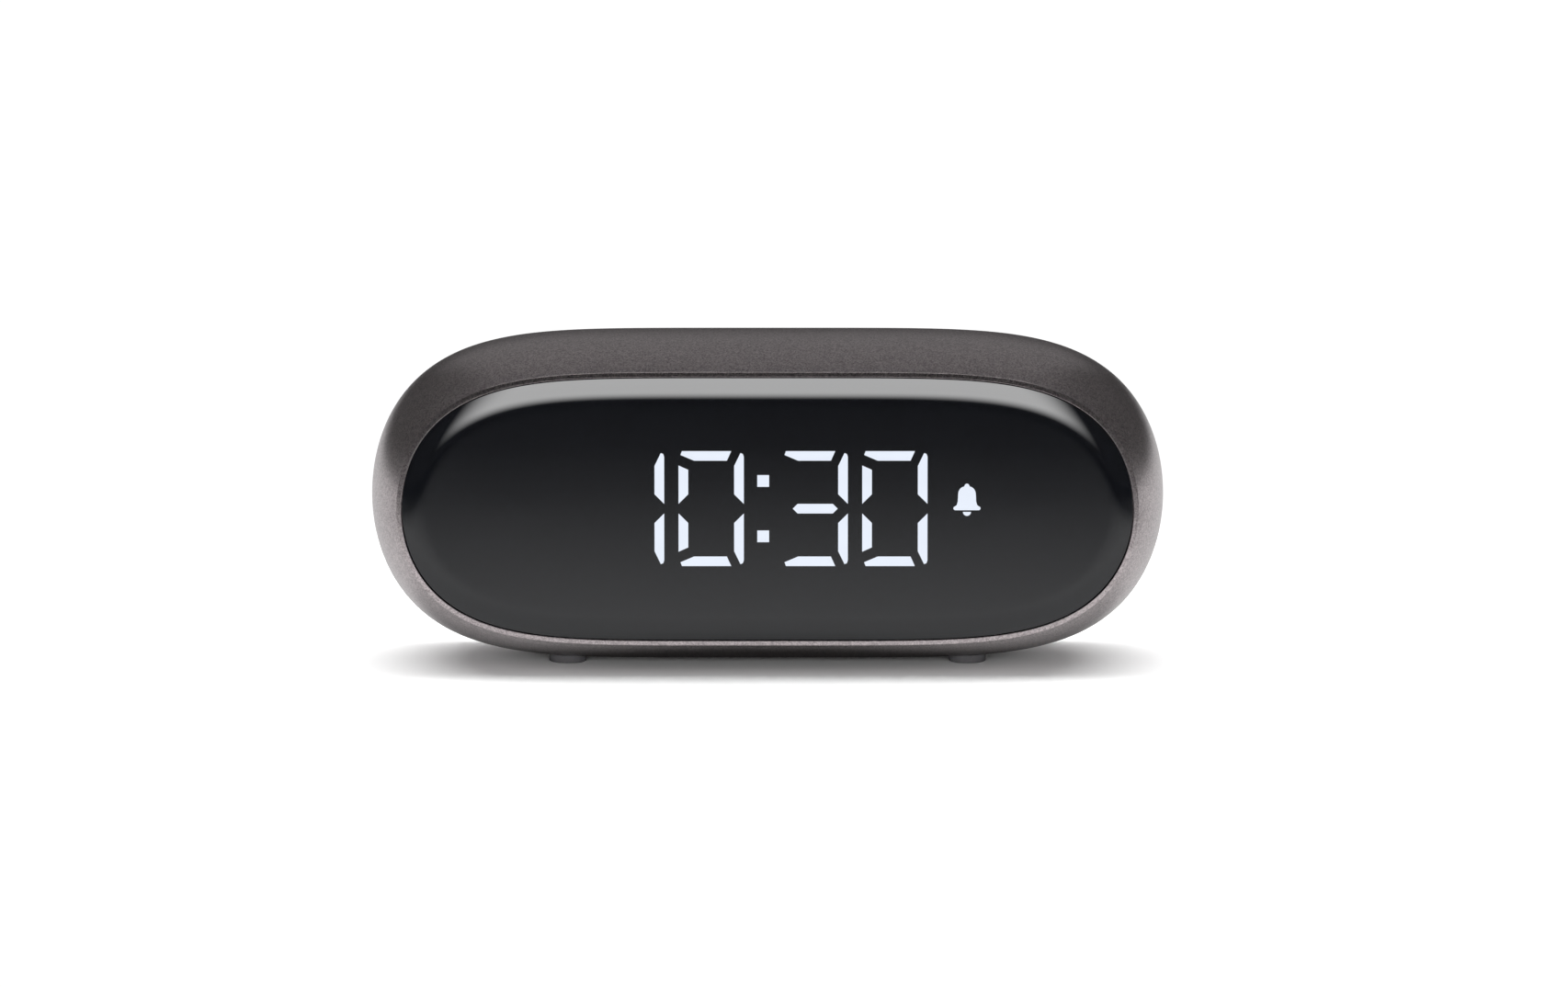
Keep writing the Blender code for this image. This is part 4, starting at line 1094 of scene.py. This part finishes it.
@dataclass
class Keys:
    """The push buttons: round caps with a shallow dish and a printed symbol each."""

    radius: float = 3.2 * MM
    edge_round: float = 0.35 * MM
    dish: float = 0.16 * MM
    dish_radius: float = 2.6 * MM
    flange_radius: float = 4.2 * MM
    flange: tuple[float, float] = (3.5 * MM, 4.3 * MM)
    stem_radius: float = 1.4 * MM
    print_proud: float = 0.012 * MM
    print_depth: float = 0.05 * MM
    dish_steps: int = 12
    body_of: dict[Key, Body] = field(default_factory=lambda: {
        Key.TIME: Body.TIME, Key.ALARM: Body.ALARM, Key.DOWN: Body.DOWN, Key.UP: Body.UP})

    def cap_profile(self, low: float, face: float) -> list[Point]:
        """Draw the key's half section, from its stem's end to the middle of its dish.

        Args:
            low: depth y of the stem's end.
            face: depth y of the key's face.

        Returns:
            Points (radius, y).
        """
        near, far = (face - run for run in self.flange)
        points = [(0.0, low), (self.stem_radius, low), (self.stem_radius, far), (self.flange_radius, far),
                  (self.flange_radius, near), (self.radius, near),
                  (self.radius, face - self.edge_round - 0.05 * MM)]
        points += arc(self.edge_round, 0, 90, 6, (self.radius - self.edge_round, face - self.edge_round))
        for step in range(1, self.dish_steps + 1):
            share = 1 - step / self.dish_steps
            points.append((self.dish_radius * share, face - self.dish * (1 - share ** 2)))
        return points

    def symbol(self, key: Key) -> list[list[Point]]:
        """Draw a key's printed symbol: minus, plus, bell or clock face.

        Args:
            key: which key it is.

        Returns:
            The symbol's polygons about its middle.
        """
        bar, half = 0.2 * MM, 1.25 * MM
        level = [(-half, -bar), (half, -bar), (half, bar), (-half, bar)]
        if key is Key.DOWN:
            return [level]
        if key is Key.UP:
            upper = [(-bar, bar + 0.02 * MM), (bar, bar + 0.02 * MM), (bar, half), (-bar, half)]
            return [level, upper, [(x, -z) for x, z in reversed(upper)]]
        if key is Key.ALARM:
            return [bell_outline(0.62), clapper_outline(0.62)]
        hand = 0.12 * MM
        minute = [(-hand, -hand), (hand, -hand), (hand, 0.95 * MM), (-hand, 0.95 * MM)]
        hour = [(-0.75 * MM, -hand), (-hand - 0.02 * MM, -hand), (-hand - 0.02 * MM, hand),
                (-0.75 * MM, hand)]
        return [ring_outline(1.45 * MM, 0.25 * MM), minute, hour]

    def build(self) -> None:
        """Make every key and its symbol."""
        for key, body in self.body_of.items():
            low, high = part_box(key.value + "_button")
            x, z, face = (low[0] + high[0]) / 2, (low[2] + high[2]) / 2, high[1]
            bm = bmesh.new()
            add_turned(bm, self.cap_profile(low[1], face), Vector((x, 0.0, z)))
            cap = finish_piece(key.value + "_key_cap", bm, KEY_ABS)
            settle(cap, body, "button", key.value + "_button")
            bm = bmesh.new()
            for points in self.symbol(key):
                add_plate(bm, moved(points, (x, z)), lambda px, pz: self.surface(px - x, pz - z, face),
                          -self.print_proud - self.print_depth)
            settle(finish_piece(key.value + "_symbol", bm, SYMBOL_INK), body, "white_plastic")

    def surface(self, x: float, z: float, face: float) -> float:
        """Work out where the print lies over the dish.

        Args:
            x: distance across from the key's middle.
            z: distance up from it.
            face: depth y of the key's face.

        Returns:
            Depth y of the print's face.
        """
        share = min(1.0, math.hypot(x, z) / self.dish_radius)
        return face - self.dish * (1 - share ** 2) + self.print_proud


@dataclass
class Slider:
    """The alarm's on-off slider: a ribbed knob on a plate, and the marks at both ends of its slot."""

    cover: RearCover
    plate_half: Point = (4.3 * MM, 2.2 * MM)
    plate_thickness: float = 0.8 * MM
    plate_corner: float = 0.4 * MM
    plate_gap: float = 0.3 * MM
    knob_half: Point = (1.5 * MM, 1.1 * MM)
    knob_corner: float = 0.45 * MM
    knob_soft: float = 0.25 * MM
    rib_half: Point = (0.14 * MM, 0.85 * MM)
    rib_corner: float = 0.13 * MM
    rib_rise: float = 0.14 * MM
    rib_pitch: float = 0.75 * MM
    stem_half: Point = (0.8 * MM, 0.7 * MM)
    mark_reach: float = 4.4 * MM
    mark_scale: float = 0.5
    mark_proud: float = 0.012 * MM

    def build(self) -> None:
        """Make the slider and its marks."""
        low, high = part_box("alarm_slider")
        x, z, top = (low[0] + high[0]) / 2, (low[2] + high[2]) / 2, high[1]
        plate_back = self.cover.inner - self.plate_gap
        bm = Loft(z, RoundedOutline(*self.plate_half, self.plate_corner), x).draw(
            [(*self.plate_half, plate_back - self.plate_thickness), (*self.plate_half, plate_back)],
            cap_first=True, cap_last=True)
        face = top - self.rib_rise
        self.add_bump(bm, (x, z), self.knob_half, self.knob_corner, plate_back - 0.2 * MM, face,
                      self.knob_soft)
        for side in (-1, 0, 1):
            self.add_bump(bm, (x + side * self.rib_pitch, z), self.rib_half, self.rib_corner,
                          face - 0.1 * MM, top, 0.1 * MM)
        self.add_bump(bm, (x, z), self.stem_half, 0.1 * MM, low[1], plate_back - 0.4 * MM, 0.05 * MM)
        settle(finish_piece("slider_knob", bm, KEY_ABS), Body.SLIDER, "button", "alarm_slider")
        self.marks(self.cover.slot_centre, z)

    def add_bump(self, bm: Mesh, place: Point, half: Point, radius: float, low: float,
                 high: float, soft: float) -> None:
        """Add a rounded block along Y whose outer end has soft edges.

        Args:
            bm: the mesh to add to.
            place: the block's middle (x, z).
            half: its half width and half height.
            radius: of its upright corners.
            low: depth y of its inner end.
            high: depth y of its outer end.
            soft: radius of the outer end's edges.
        """
        loft = Loft(place[1], RoundedOutline(*half, radius, 24), place[0])
        sections = [(*half, low), (*half, high - soft)]
        for across, along in arc(soft, 0, 90, 5)[1:]:
            drawn = min(soft - across, 0.9 * radius)
            sections.append((half[0] - drawn, half[1] - drawn, high - soft + along))
        add_part(bm, loft.draw(sections, cap_first=True, cap_last=True))

    def marks(self, slot: Point, z: float) -> None:
        """Print a bell at the slider's on end and a ring at its off end.

        Args:
            slot: the slot's middle, of which x is used.
            z: height of the slider's middle.
        """
        face = self.cover.back - self.cover.field_sink + self.mark_proud
        bm = bmesh.new()
        on = (slot[0] - self.mark_reach, z)
        off = (slot[0] + self.mark_reach, z)
        for points, centre in ((bell_outline(self.mark_scale), on), (clapper_outline(self.mark_scale), on),
                               (ring_outline(0.75 * MM, 0.22 * MM), off)):
            add_plate(bm, moved(points, centre), lambda px, pz: face, -0.06 * MM)
        settle(finish_piece("slider_marks", bm, SYMBOL_INK), Body.CASE, "white_plastic")


@dataclass
class Fasteners:
    """The four cover screws, with domed heads and crossed recesses."""

    head_radius: float = 1.8 * MM
    head_height: float = 1.2 * MM
    head_dome: float = 0.55 * MM
    shank_radius: float = 0.95 * MM
    point_height: float = 0.5 * MM
    arm: Point = (1.15 * MM, 0.22 * MM)
    recess: float = 0.7 * MM

    def build(self) -> None:
        """Make each screw in its CAD screw's place."""
        for node in sorted(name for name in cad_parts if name.startswith("cover_screw")):
            low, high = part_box(node)
            x, z, top = (low[0] + high[0]) / 2, (low[2] + high[2]) / 2, high[1]
            seat = top - self.head_height
            rim = top - self.head_dome
            profile = [(0.0, low[1]), (self.shank_radius, low[1] + self.point_height),
                       (self.shank_radius, seat), (self.head_radius, seat), (self.head_radius, rim)]
            profile += [(self.head_radius * math.cos(math.radians(angle)),
                         rim + self.head_dome * math.sin(math.radians(angle)))
                        for angle in range(10, 91, 10)]
            profile[-1] = (0.0, top)
            bm = bmesh.new()
            add_turned(bm, profile, Vector((x, 0.0, z)), steps=48)
            piece = finish_piece(node + "_fine", bm, PLATED_STEEL, sharp_angle=40)
            tool = bmesh.new()
            long, thick = self.arm
            cross = [(thick, thick), (thick, long), (-thick, long), (-thick, thick), (-long, thick),
                     (-long, -thick), (-thick, -thick), (-thick, -long), (thick, -long), (thick, -thick),
                     (long, -thick), (long, thick)]
            add_plate(tool, moved(cross, (x, z)), lambda px, pz: top - self.recess, 2 * self.recess)
            carve(piece, tool, sharp_angle=40)
            settle(piece, Body.CASE, "steel", node)


@dataclass
class Feet:
    """The four rubber feet: low discs with a soft edge and a shallow hollow underneath."""

    soft: float = 0.22 * MM
    hollow: float = 0.08 * MM
    hollow_share: float = 0.6
    tread_share: float = 0.72

    def build(self) -> None:
        """Make each foot in its CAD foot's place."""
        for node in sorted(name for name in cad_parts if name.startswith("foot_")):
            low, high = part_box(node)
            x, y, radius = (low[0] + high[0]) / 2, (low[1] + high[1]) / 2, (high[0] - low[0]) / 2
            profile = [(0.0, low[2] + self.hollow), (self.hollow_share * radius, low[2] + self.hollow),
                       (self.tread_share * radius, low[2])]
            profile += arc(self.soft, -90, 0, 5, (radius - self.soft, low[2] + self.soft))
            profile += [(radius, high[2]), (0.0, high[2])]
            bm = bmesh.new()
            add_turned(bm, profile, Vector((x, y, 0.0)), axis="Z")
            settle(finish_piece(node + "_pad", bm, FOOT_RUBBER), Body.CASE, "rubber", node)


@dataclass
class ChargingSocket:
    """The socket's drawn-steel mouth with a rolled lip, and the contacts on its tongue."""

    wall: float = 0.35 * MM
    depth: float = 7.0 * MM
    corner: float = 1.55 * MM
    contact_half: Point = (0.16 * MM, 1.9 * MM)
    contact_pitch: float = 0.8 * MM
    contact_thickness: float = 0.06 * MM
    contact_proud: float = 0.01 * MM
    contact_bevel: float = 0.012 * MM
    contact_setback: float = 0.4 * MM
    contacts: int = 6

    def build(self) -> None:
        """Make the mouth and the contacts."""
        low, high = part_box("charging_socket")
        half = ((high[0] - low[0]) / 2, (high[2] - low[2]) / 2)
        x, z, back = (high[0] + low[0]) / 2, (high[2] + low[2]) / 2, high[1]
        sections = [(*half, low[1]), (*half, back - 0.15 * MM)]
        for across, along in arc(self.wall / 2, 0, 180, 8):
            inset = self.wall / 2 - across
            sections.append((half[0] - inset, half[1] - inset, back - self.wall / 2 + along))
        inner = (half[0] - self.wall, half[1] - self.wall)
        sections.append((*inner, back - self.depth))
        bm = Loft(z, RoundedOutline(*half, self.corner), x).draw(sections, cap_first=True, cap_last=True)
        piece = finish_piece("socket_mouth", bm, PLATED_STEEL)
        settle(piece, Body.CASE, "steel", "charging_socket")
        self.add_contacts()

    def add_contacts(self) -> None:
        """Lay gold contacts along both faces of the tongue."""
        low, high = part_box("socket_tongue")
        bm = bmesh.new()
        for side, face in ((-1, low[2]), (1, high[2])):
            for order in range(self.contacts):
                x = (order - (self.contacts - 1) / 2) * self.contact_pitch
                made = bmesh.ops.create_cube(bm, size=1.0)["verts"]
                bmesh.ops.scale(bm, vec=(2 * self.contact_half[0], 2 * self.contact_half[1],
                                         self.contact_thickness), verts=made)
                place = (x, high[1] - self.contact_half[1] - self.contact_setback,
                         face + side * self.contact_proud)
                bmesh.ops.translate(bm, vec=place, verts=made)
        bmesh.ops.bevel(bm, geom=bm.edges[:], offset=self.contact_bevel, segments=1, profile=0.5,
                        affect="EDGES", material=-1)
        settle(finish_piece("socket_contacts", bm, CONTACT_GOLD), Body.CASE, "copper")


# ------------------------------------------------------------------ finishes of the carried-over parts

@dataclass
class CarriedParts:
    """CAD parts whose shape is right: each gets the finish of its real material."""

    plain: dict[str, Finish] = field(default_factory=lambda: {
        "lens_adhesive": PAD_FOAM, "diffuser_film": POLYESTER_FILM, "segment_reflector": WHITE_PLASTIC,
        "light_sensor": BLACK_PLASTIC, "led_board": CIRCUIT_BOARD, "main_board": CIRCUIT_BOARD,
        "display_frame": BLACK_PLASTIC, "battery_cell": POUCH_FOIL, "battery_foam": PAD_FOAM,
        "battery_connector": WHITE_PLASTIC, "battery_lead": BLACK_PLASTIC, "clock_chip": BLACK_PLASTIC,
        "clock_crystal": PLATED_STEEL, "flex_cable": POLYESTER_FILM, "flex_socket_front": WHITE_PLASTIC,
        "flex_socket_rear": WHITE_PLASTIC, "slider_lever": BLACK_PLASTIC, "slide_switch": BLACK_PLASTIC,
        "socket_tongue": BLACK_PLASTIC, "sounder": BLACK_PLASTIC, "sounder_gasket": PAD_FOAM,
        "dust_mesh": BLACK_PLASTIC, "touch_electrode": COPPER_FOIL, "touch_spring": PLATED_STEEL})
    by_word: dict[str, Finish] = field(default_factory=lambda: {
        "frame_screw": PLATED_STEEL, "board_screw": PLATED_STEEL, "led_screw": PLATED_STEEL,
        "plunger": BLACK_PLASTIC, "switch": BLACK_PLASTIC})

    def finish_of(self, node: str) -> Optional[Finish]:
        """Find the finish of a CAD node.

        Args:
            node: the node's name.

        Returns:
            The finish, or None if a fine piece stands for the node.
        """
        if node in self.plain:
            return self.plain[node]
        return next((finish for word, finish in self.by_word.items() if word in node), None)

    def dress(self) -> None:
        """Put each finish on its node's material slots."""
        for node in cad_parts:
            finish = self.finish_of(node)
            if finish is None:
                continue
            item = bpy.data.objects[node]
            if not item.material_slots:
                item.data.materials.append(finish.material())
            for slot in item.material_slots:
                slot.material = finish.material()
            LOG.info("dressed %s in %s", node, finish.name)


# ------------------------------------------------------------------ studio

def stage_grid(name: str, size: float, material: bpy.types.Material) -> Item:
    """Add a flat sheet to the scene.

    Args:
        name: the sheet's name.
        size: half its side.
        material: its material.

    Returns:
        The sheet, which isn't part of the clock.
    """
    bm = bmesh.new()
    bmesh.ops.create_grid(bm, x_segments=1, y_segments=1, size=size)
    item = put_in_scene(name, bm)
    item.data.materials.append(material)
    return item


@dataclass(frozen=True)
class Panel:
    """A softbox or card that only shows in glossy reflections, soft at its edges."""

    name: str
    place: tuple[float, float, float]
    size: Point
    radiance: float
    soft: float = 0.4
    lens_only: bool = False

    def material(self) -> bpy.types.Material:
        """Make the panel's lit fabric, which fades over the soft share of its half size.

        Returns:
            The material.
        """
        material, tree, place = blank_material(self.name + "_fabric")
        axes = add_node(tree, "ShaderNodeSeparateXYZ", links={"Vector": place})
        fades = []
        for axis in ("X", "Y"):
            across = add_node(tree, "ShaderNodeMath", links={0: axes.outputs[axis]}, operation="ABSOLUTE")
            fade = add_node(tree, "ShaderNodeMapRange", {"From Min": 1.0, "From Max": 1.0 - self.soft},
                            {"Value": across.outputs["Value"]}, interpolation_type="SMOOTHSTEP")
            fades.append(fade.outputs["Result"])
        level = add_node(tree, "ShaderNodeMath", links={0: fades[0], 1: fades[1]}, operation="MULTIPLY")
        scaled = add_node(tree, "ShaderNodeMath", {1: self.radiance}, {0: level.outputs["Value"]},
                          operation="MULTIPLY")
        light = add_node(tree, "ShaderNodeEmission", {"Color": srgb("ffffff")},
                         {"Strength": scaled.outputs["Value"]})
        add_node(tree, "ShaderNodeOutputMaterial", links={"Surface": light.outputs["Emission"]})
        return material


@dataclass(frozen=True)
class Softbox:
    """A light that falls on the floor and throws the shadow, unseen itself."""

    name: str
    place: tuple[float, float, float]
    target: tuple[float, float, float]
    size: Point
    power: float

    def build(self) -> None:
        """Hang the light up."""
        light = bpy.data.lights.new(self.name, "AREA")
        light.shape = "RECTANGLE"
        light.size, light.size_y = self.size
        light.energy = self.power
        item = bpy.data.objects.new(self.name, light)
        item.location = self.place
        item.rotation_euler = (Vector(self.target) - Vector(self.place)).to_track_quat("-Z", "Y").to_euler()
        item.visible_camera = False
        item.visible_glossy = False
        bpy.context.scene.collection.objects.link(item)


@dataclass
class Floor:
    """The pale table: white to the eye; in reflections a painted light that darkens towards the camera,
    with a painted shadow under the clock and painted shade beside it.
    """

    size: float = 3.0
    white_from: float = 0.09
    white_to: float = 0.16
    white_level: float = 1.05
    mirrored_level: float = 1.3
    mirrored_run: float = -0.6
    # A painted fall-off of the floor's reflected light, from the clock towards the camera.
    fall: tuple[Point, ...] = ((0.0, 0.72), (0.083, 0.95), (0.167, 0.72), (0.25, 0.48), (0.333, 0.27),
                               (0.45, 0.1), (0.6, 0.04), (1.0, 0.02))
    # The painted shadow under the clock, seen only in reflections: its half size, its soft edge and its
    # level.
    painted_shadow_half: Point = (0.056, 0.017)
    painted_shadow_edge: Point = (0.55, 1.35)
    painted_shadow_level: float = 0.02
    # Painted shade on the reflected floor beside the clock's front half.
    beside: Point = (0.09, 0.18)
    beside_behind: float = 0.12
    painted_side_shade: float = 0.75

    def seen(self, tree: Tree, place: Socket, path: bpy.types.Node) -> Socket:
        """Shade the table for the eye: paint that takes the shadow, turning plain white far away.

        Args:
            tree: the floor's node tree.
            place: its Object coordinates.
            path: the Light Path node.

        Returns:
            The shader.
        """
        paint = add_node(tree, "ShaderNodeBsdfPrincipled", {"Base Color": srgb("f4f4f4"), "Roughness": 0.6})
        far = add_node(tree, "ShaderNodeVectorMath", links={0: place}, operation="LENGTH")
        clear = add_node(tree, "ShaderNodeMapRange",
                         {"From Min": self.white_from, "From Max": self.white_to},
                         {"Value": far.outputs["Value"]}, interpolation_type="SMOOTHSTEP")
        seen = add_node(tree, "ShaderNodeMath", links={
            0: clear.outputs["Result"], 1: path.outputs["Is Camera Ray"]}, operation="MULTIPLY")
        white = add_node(tree, "ShaderNodeEmission", {"Strength": self.white_level})
        bright = add_node(tree, "ShaderNodeMixShader", links={
            0: seen.outputs["Value"], 1: paint.outputs["BSDF"], 2: white.outputs["Emission"]})
        return bright.outputs["Shader"]

    def painted_falloff(self, tree: Tree, depth: Socket) -> Socket:
        """Paint a fall-off into the reflected level: bright by the clock, darker towards the camera.

        Args:
            tree: the floor's node tree.
            depth: its Y coordinate.

        Returns:
            The level as a grey.
        """
        run = add_node(tree, "ShaderNodeMapRange", {"From Min": 0.0, "From Max": self.mirrored_run},
                       {"Value": depth})
        # Painted fall-off: the reflected floor darkens away from the clock.
        fall = add_node(tree, "ShaderNodeValToRGB", links={"Fac": run.outputs["Result"]})
        ramp = fall.color_ramp
        first, *middle, last = self.fall
        for stop, (at, level) in zip(ramp.elements, (first, last)):
            stop.position = at
            stop.color = (level, level, level, 1.0)
        for at, level in middle:
            ramp.elements.new(at).color = (level, level, level, 1.0)
        return fall.outputs["Color"]

    def mirrored(self, tree: Tree, place: Socket) -> Socket:
        """Paint the table's reflected light: a painted shadow under the clock and painted shade beside its
        front half.

        Args:
            tree: the floor's node tree.
            place: its Object coordinates.

        Returns:
            The shader.
        """
        axes = add_node(tree, "ShaderNodeSeparateXYZ", links={"Vector": place}).outputs
        under = add_node(tree, "ShaderNodeVectorMath",
                         {1: (1 / self.painted_shadow_half[0], 1 / self.painted_shadow_half[1], 0.0)}, {0: place},
                         operation="MULTIPLY")
        reach = add_node(tree, "ShaderNodeVectorMath", links={0: under.outputs["Vector"]},
                         operation="LENGTH")
        # Painted shadow: the reflected floor is dark in an ellipse under the clock.
        open_floor = add_node(tree, "ShaderNodeMapRange", {
            "From Min": self.painted_shadow_edge[0], "From Max": self.painted_shadow_edge[1], "To Min": self.painted_shadow_level,
            "To Max": self.mirrored_level}, {"Value": reach.outputs["Value"]},
            interpolation_type="SMOOTHSTEP")
        # Painted shade: the reflected floor is dimmed beside the clock's front half.
        across = add_node(tree, "ShaderNodeMath", links={0: axes["X"]}, operation="ABSOLUTE")
        aside = add_node(tree, "ShaderNodeMapRange", {
            "From Min": self.beside[0], "From Max": self.beside[1]}, {"Value": across.outputs["Value"]},
            interpolation_type="SMOOTHSTEP")
        ahead = add_node(tree, "ShaderNodeMapRange", {
            "From Min": self.beside_behind, "From Max": 0.0, "To Max": self.painted_side_shade},
            {"Value": axes["Y"]}, interpolation_type="SMOOTHSTEP")
        dim = add_node(tree, "ShaderNodeMath", links={
            0: aside.outputs["Result"], 1: ahead.outputs["Result"]}, operation="MULTIPLY")
        kept = add_node(tree, "ShaderNodeMath", {0: 1.0}, {1: dim.outputs["Value"]}, operation="SUBTRACT")
        level = add_node(tree, "ShaderNodeMath", links={
            0: open_floor.outputs["Result"], 1: kept.outputs["Value"]}, operation="MULTIPLY")
        light = add_node(tree, "ShaderNodeEmission", links={
            "Color": self.painted_falloff(tree, axes["Y"]), "Strength": level.outputs["Value"]})
        return light.outputs["Emission"]

    def build(self) -> Item:
        """Lay the floor.

        Returns:
            The floor.
        """
        material, tree, place = blank_material("painted_table_white")
        path = add_node(tree, "ShaderNodeLightPath")
        mix = add_node(tree, "ShaderNodeMixShader", links={
            0: path.outputs["Is Glossy Ray"], 1: self.seen(tree, place, path),
            2: self.mirrored(tree, place)})
        add_node(tree, "ShaderNodeOutputMaterial", links={"Surface": mix.outputs["Shader"]})
        return stage_grid("floor", self.size, material)


@dataclass
class Studio:
    """Pale floor, overhead softbox, reflected panels, quiet surroundings and the camera."""

    lens: Item
    camera_distance: float = 2.5
    camera_rise_degrees: float = 8.5
    frame_width: float = 0.2201
    sensor: float = 36.0
    aim: tuple[float, float, float] = (0.0023, 0.0009, 0.02304)
    clock: tuple[float, float, float] = (0.0, 0.0, 0.03)
    fill: float = 0.42
    room: float = 0.05
    backdrop: float = 1.05
    lights: tuple[Softbox, ...] = (
        Softbox("softbox_top", (0.0, 0.13, 0.75), (0.0, 0.0, 0.0), (1.6, 0.3), 15.0),
        Softbox("softbox_front", (0.0, -1.2, 0.22), (0.0, 0.0, 0.03), (1.4, 0.3), 11.0))
    panels: tuple[Panel, ...] = (
        Panel("softbox_lens", (0.0, -0.67, 0.56), (1.0, 1.2), 10.0, 0.62, lens_only=True),
        Panel("card_back", (0.0, 1.2, 0.95), (1.4, 1.5), 0.215),
        Panel("card_top", (0.0, -0.1, 1.2), (1.2, 0.25), 4.0),
        Panel("card_left", (-1.2, 0.15, 0.1), (1.4, 0.5), 0.28),
        Panel("card_right", (1.2, 0.15, 0.1), (1.4, 0.5), 0.28))

    def hang(self, panel: Panel) -> None:
        """Hang a panel up, facing the clock.

        Args:
            panel: the panel; one that is for the lens lights nothing else.
        """
        item = stage_grid(panel.name, 1.0, panel.material())
        item.location = panel.place
        item.rotation_euler = (Vector(panel.place) - Vector(self.clock)).to_track_quat("Z", "Y").to_euler()
        item.scale = (panel.size[0] / 2, panel.size[1] / 2, 1.0)
        item.visible_camera = False
        item.visible_diffuse = False
        item.visible_shadow = False
        if panel.lens_only:
            receivers = bpy.data.collections.new(panel.name + "_receivers")
            receivers.objects.link(self.lens)
            item.light_linking.receiver_collection = receivers

    def world(self) -> None:
        """White behind the clock, a soft fill for the floor and a dark studio for reflections."""
        world = bpy.data.worlds.new("studio")
        bpy.context.scene.world = world
        world.use_nodes = True
        tree = world.node_tree
        tree.nodes.clear()
        path = add_node(tree, "ShaderNodeLightPath")
        room, fill, backdrop = (add_node(tree, "ShaderNodeBackground", {
            "Color": srgb("ffffff"), "Strength": strength}).outputs["Background"]
            for strength in (self.room, self.fill, self.backdrop))
        lit = add_node(tree, "ShaderNodeMixShader", links={
            0: path.outputs["Is Diffuse Ray"], 1: room, 2: fill})
        mix = add_node(tree, "ShaderNodeMixShader", links={
            0: path.outputs["Is Camera Ray"], 1: lit.outputs["Shader"], 2: backdrop})
        add_node(tree, "ShaderNodeOutputWorld", links={"Surface": mix.outputs["Shader"]})

    def camera(self) -> None:
        """Stand the camera in front of the clock, a little above it."""
        data = bpy.data.cameras.new("camera")
        data.sensor_width = self.sensor
        data.lens = self.sensor * self.camera_distance / self.frame_width
        data.clip_start = 0.01
        item = bpy.data.objects.new("camera", data)
        rise = math.radians(self.camera_rise_degrees)
        back = Vector((0.0, -math.cos(rise), math.sin(rise))) * self.camera_distance
        item.location = Vector(self.aim) + back
        item.rotation_euler = (-back).to_track_quat("-Z", "Y").to_euler()
        bpy.context.scene.collection.objects.link(item)
        bpy.context.scene.camera = item

    def build(self) -> None:
        """Set the whole studio up."""
        Floor().build()
        self.world()
        for light in self.lights:
            light.build()
        for panel in self.panels:
            self.hang(panel)
        self.camera()
        view = bpy.context.scene.view_settings
        view.view_transform = "Standard"
        view.look = "None"


def main() -> None:
    """Build the clock and its studio."""
    logging.basicConfig(level=logging.INFO, format="%(name)s: %(message)s")
    shell = Shell()
    shell.build()
    lens = Lens(shell)
    lens_piece = lens.build()
    Figures(shell, lens).build()
    cover = RearCover(shell)
    cover.build()
    Keys().build()
    Slider(cover).build()
    Fasteners().build()
    Feet().build()
    ChargingSocket().build()
    CarriedParts().dress()
    Studio(lens_piece).build()


if __name__ == "__main__":
    main()
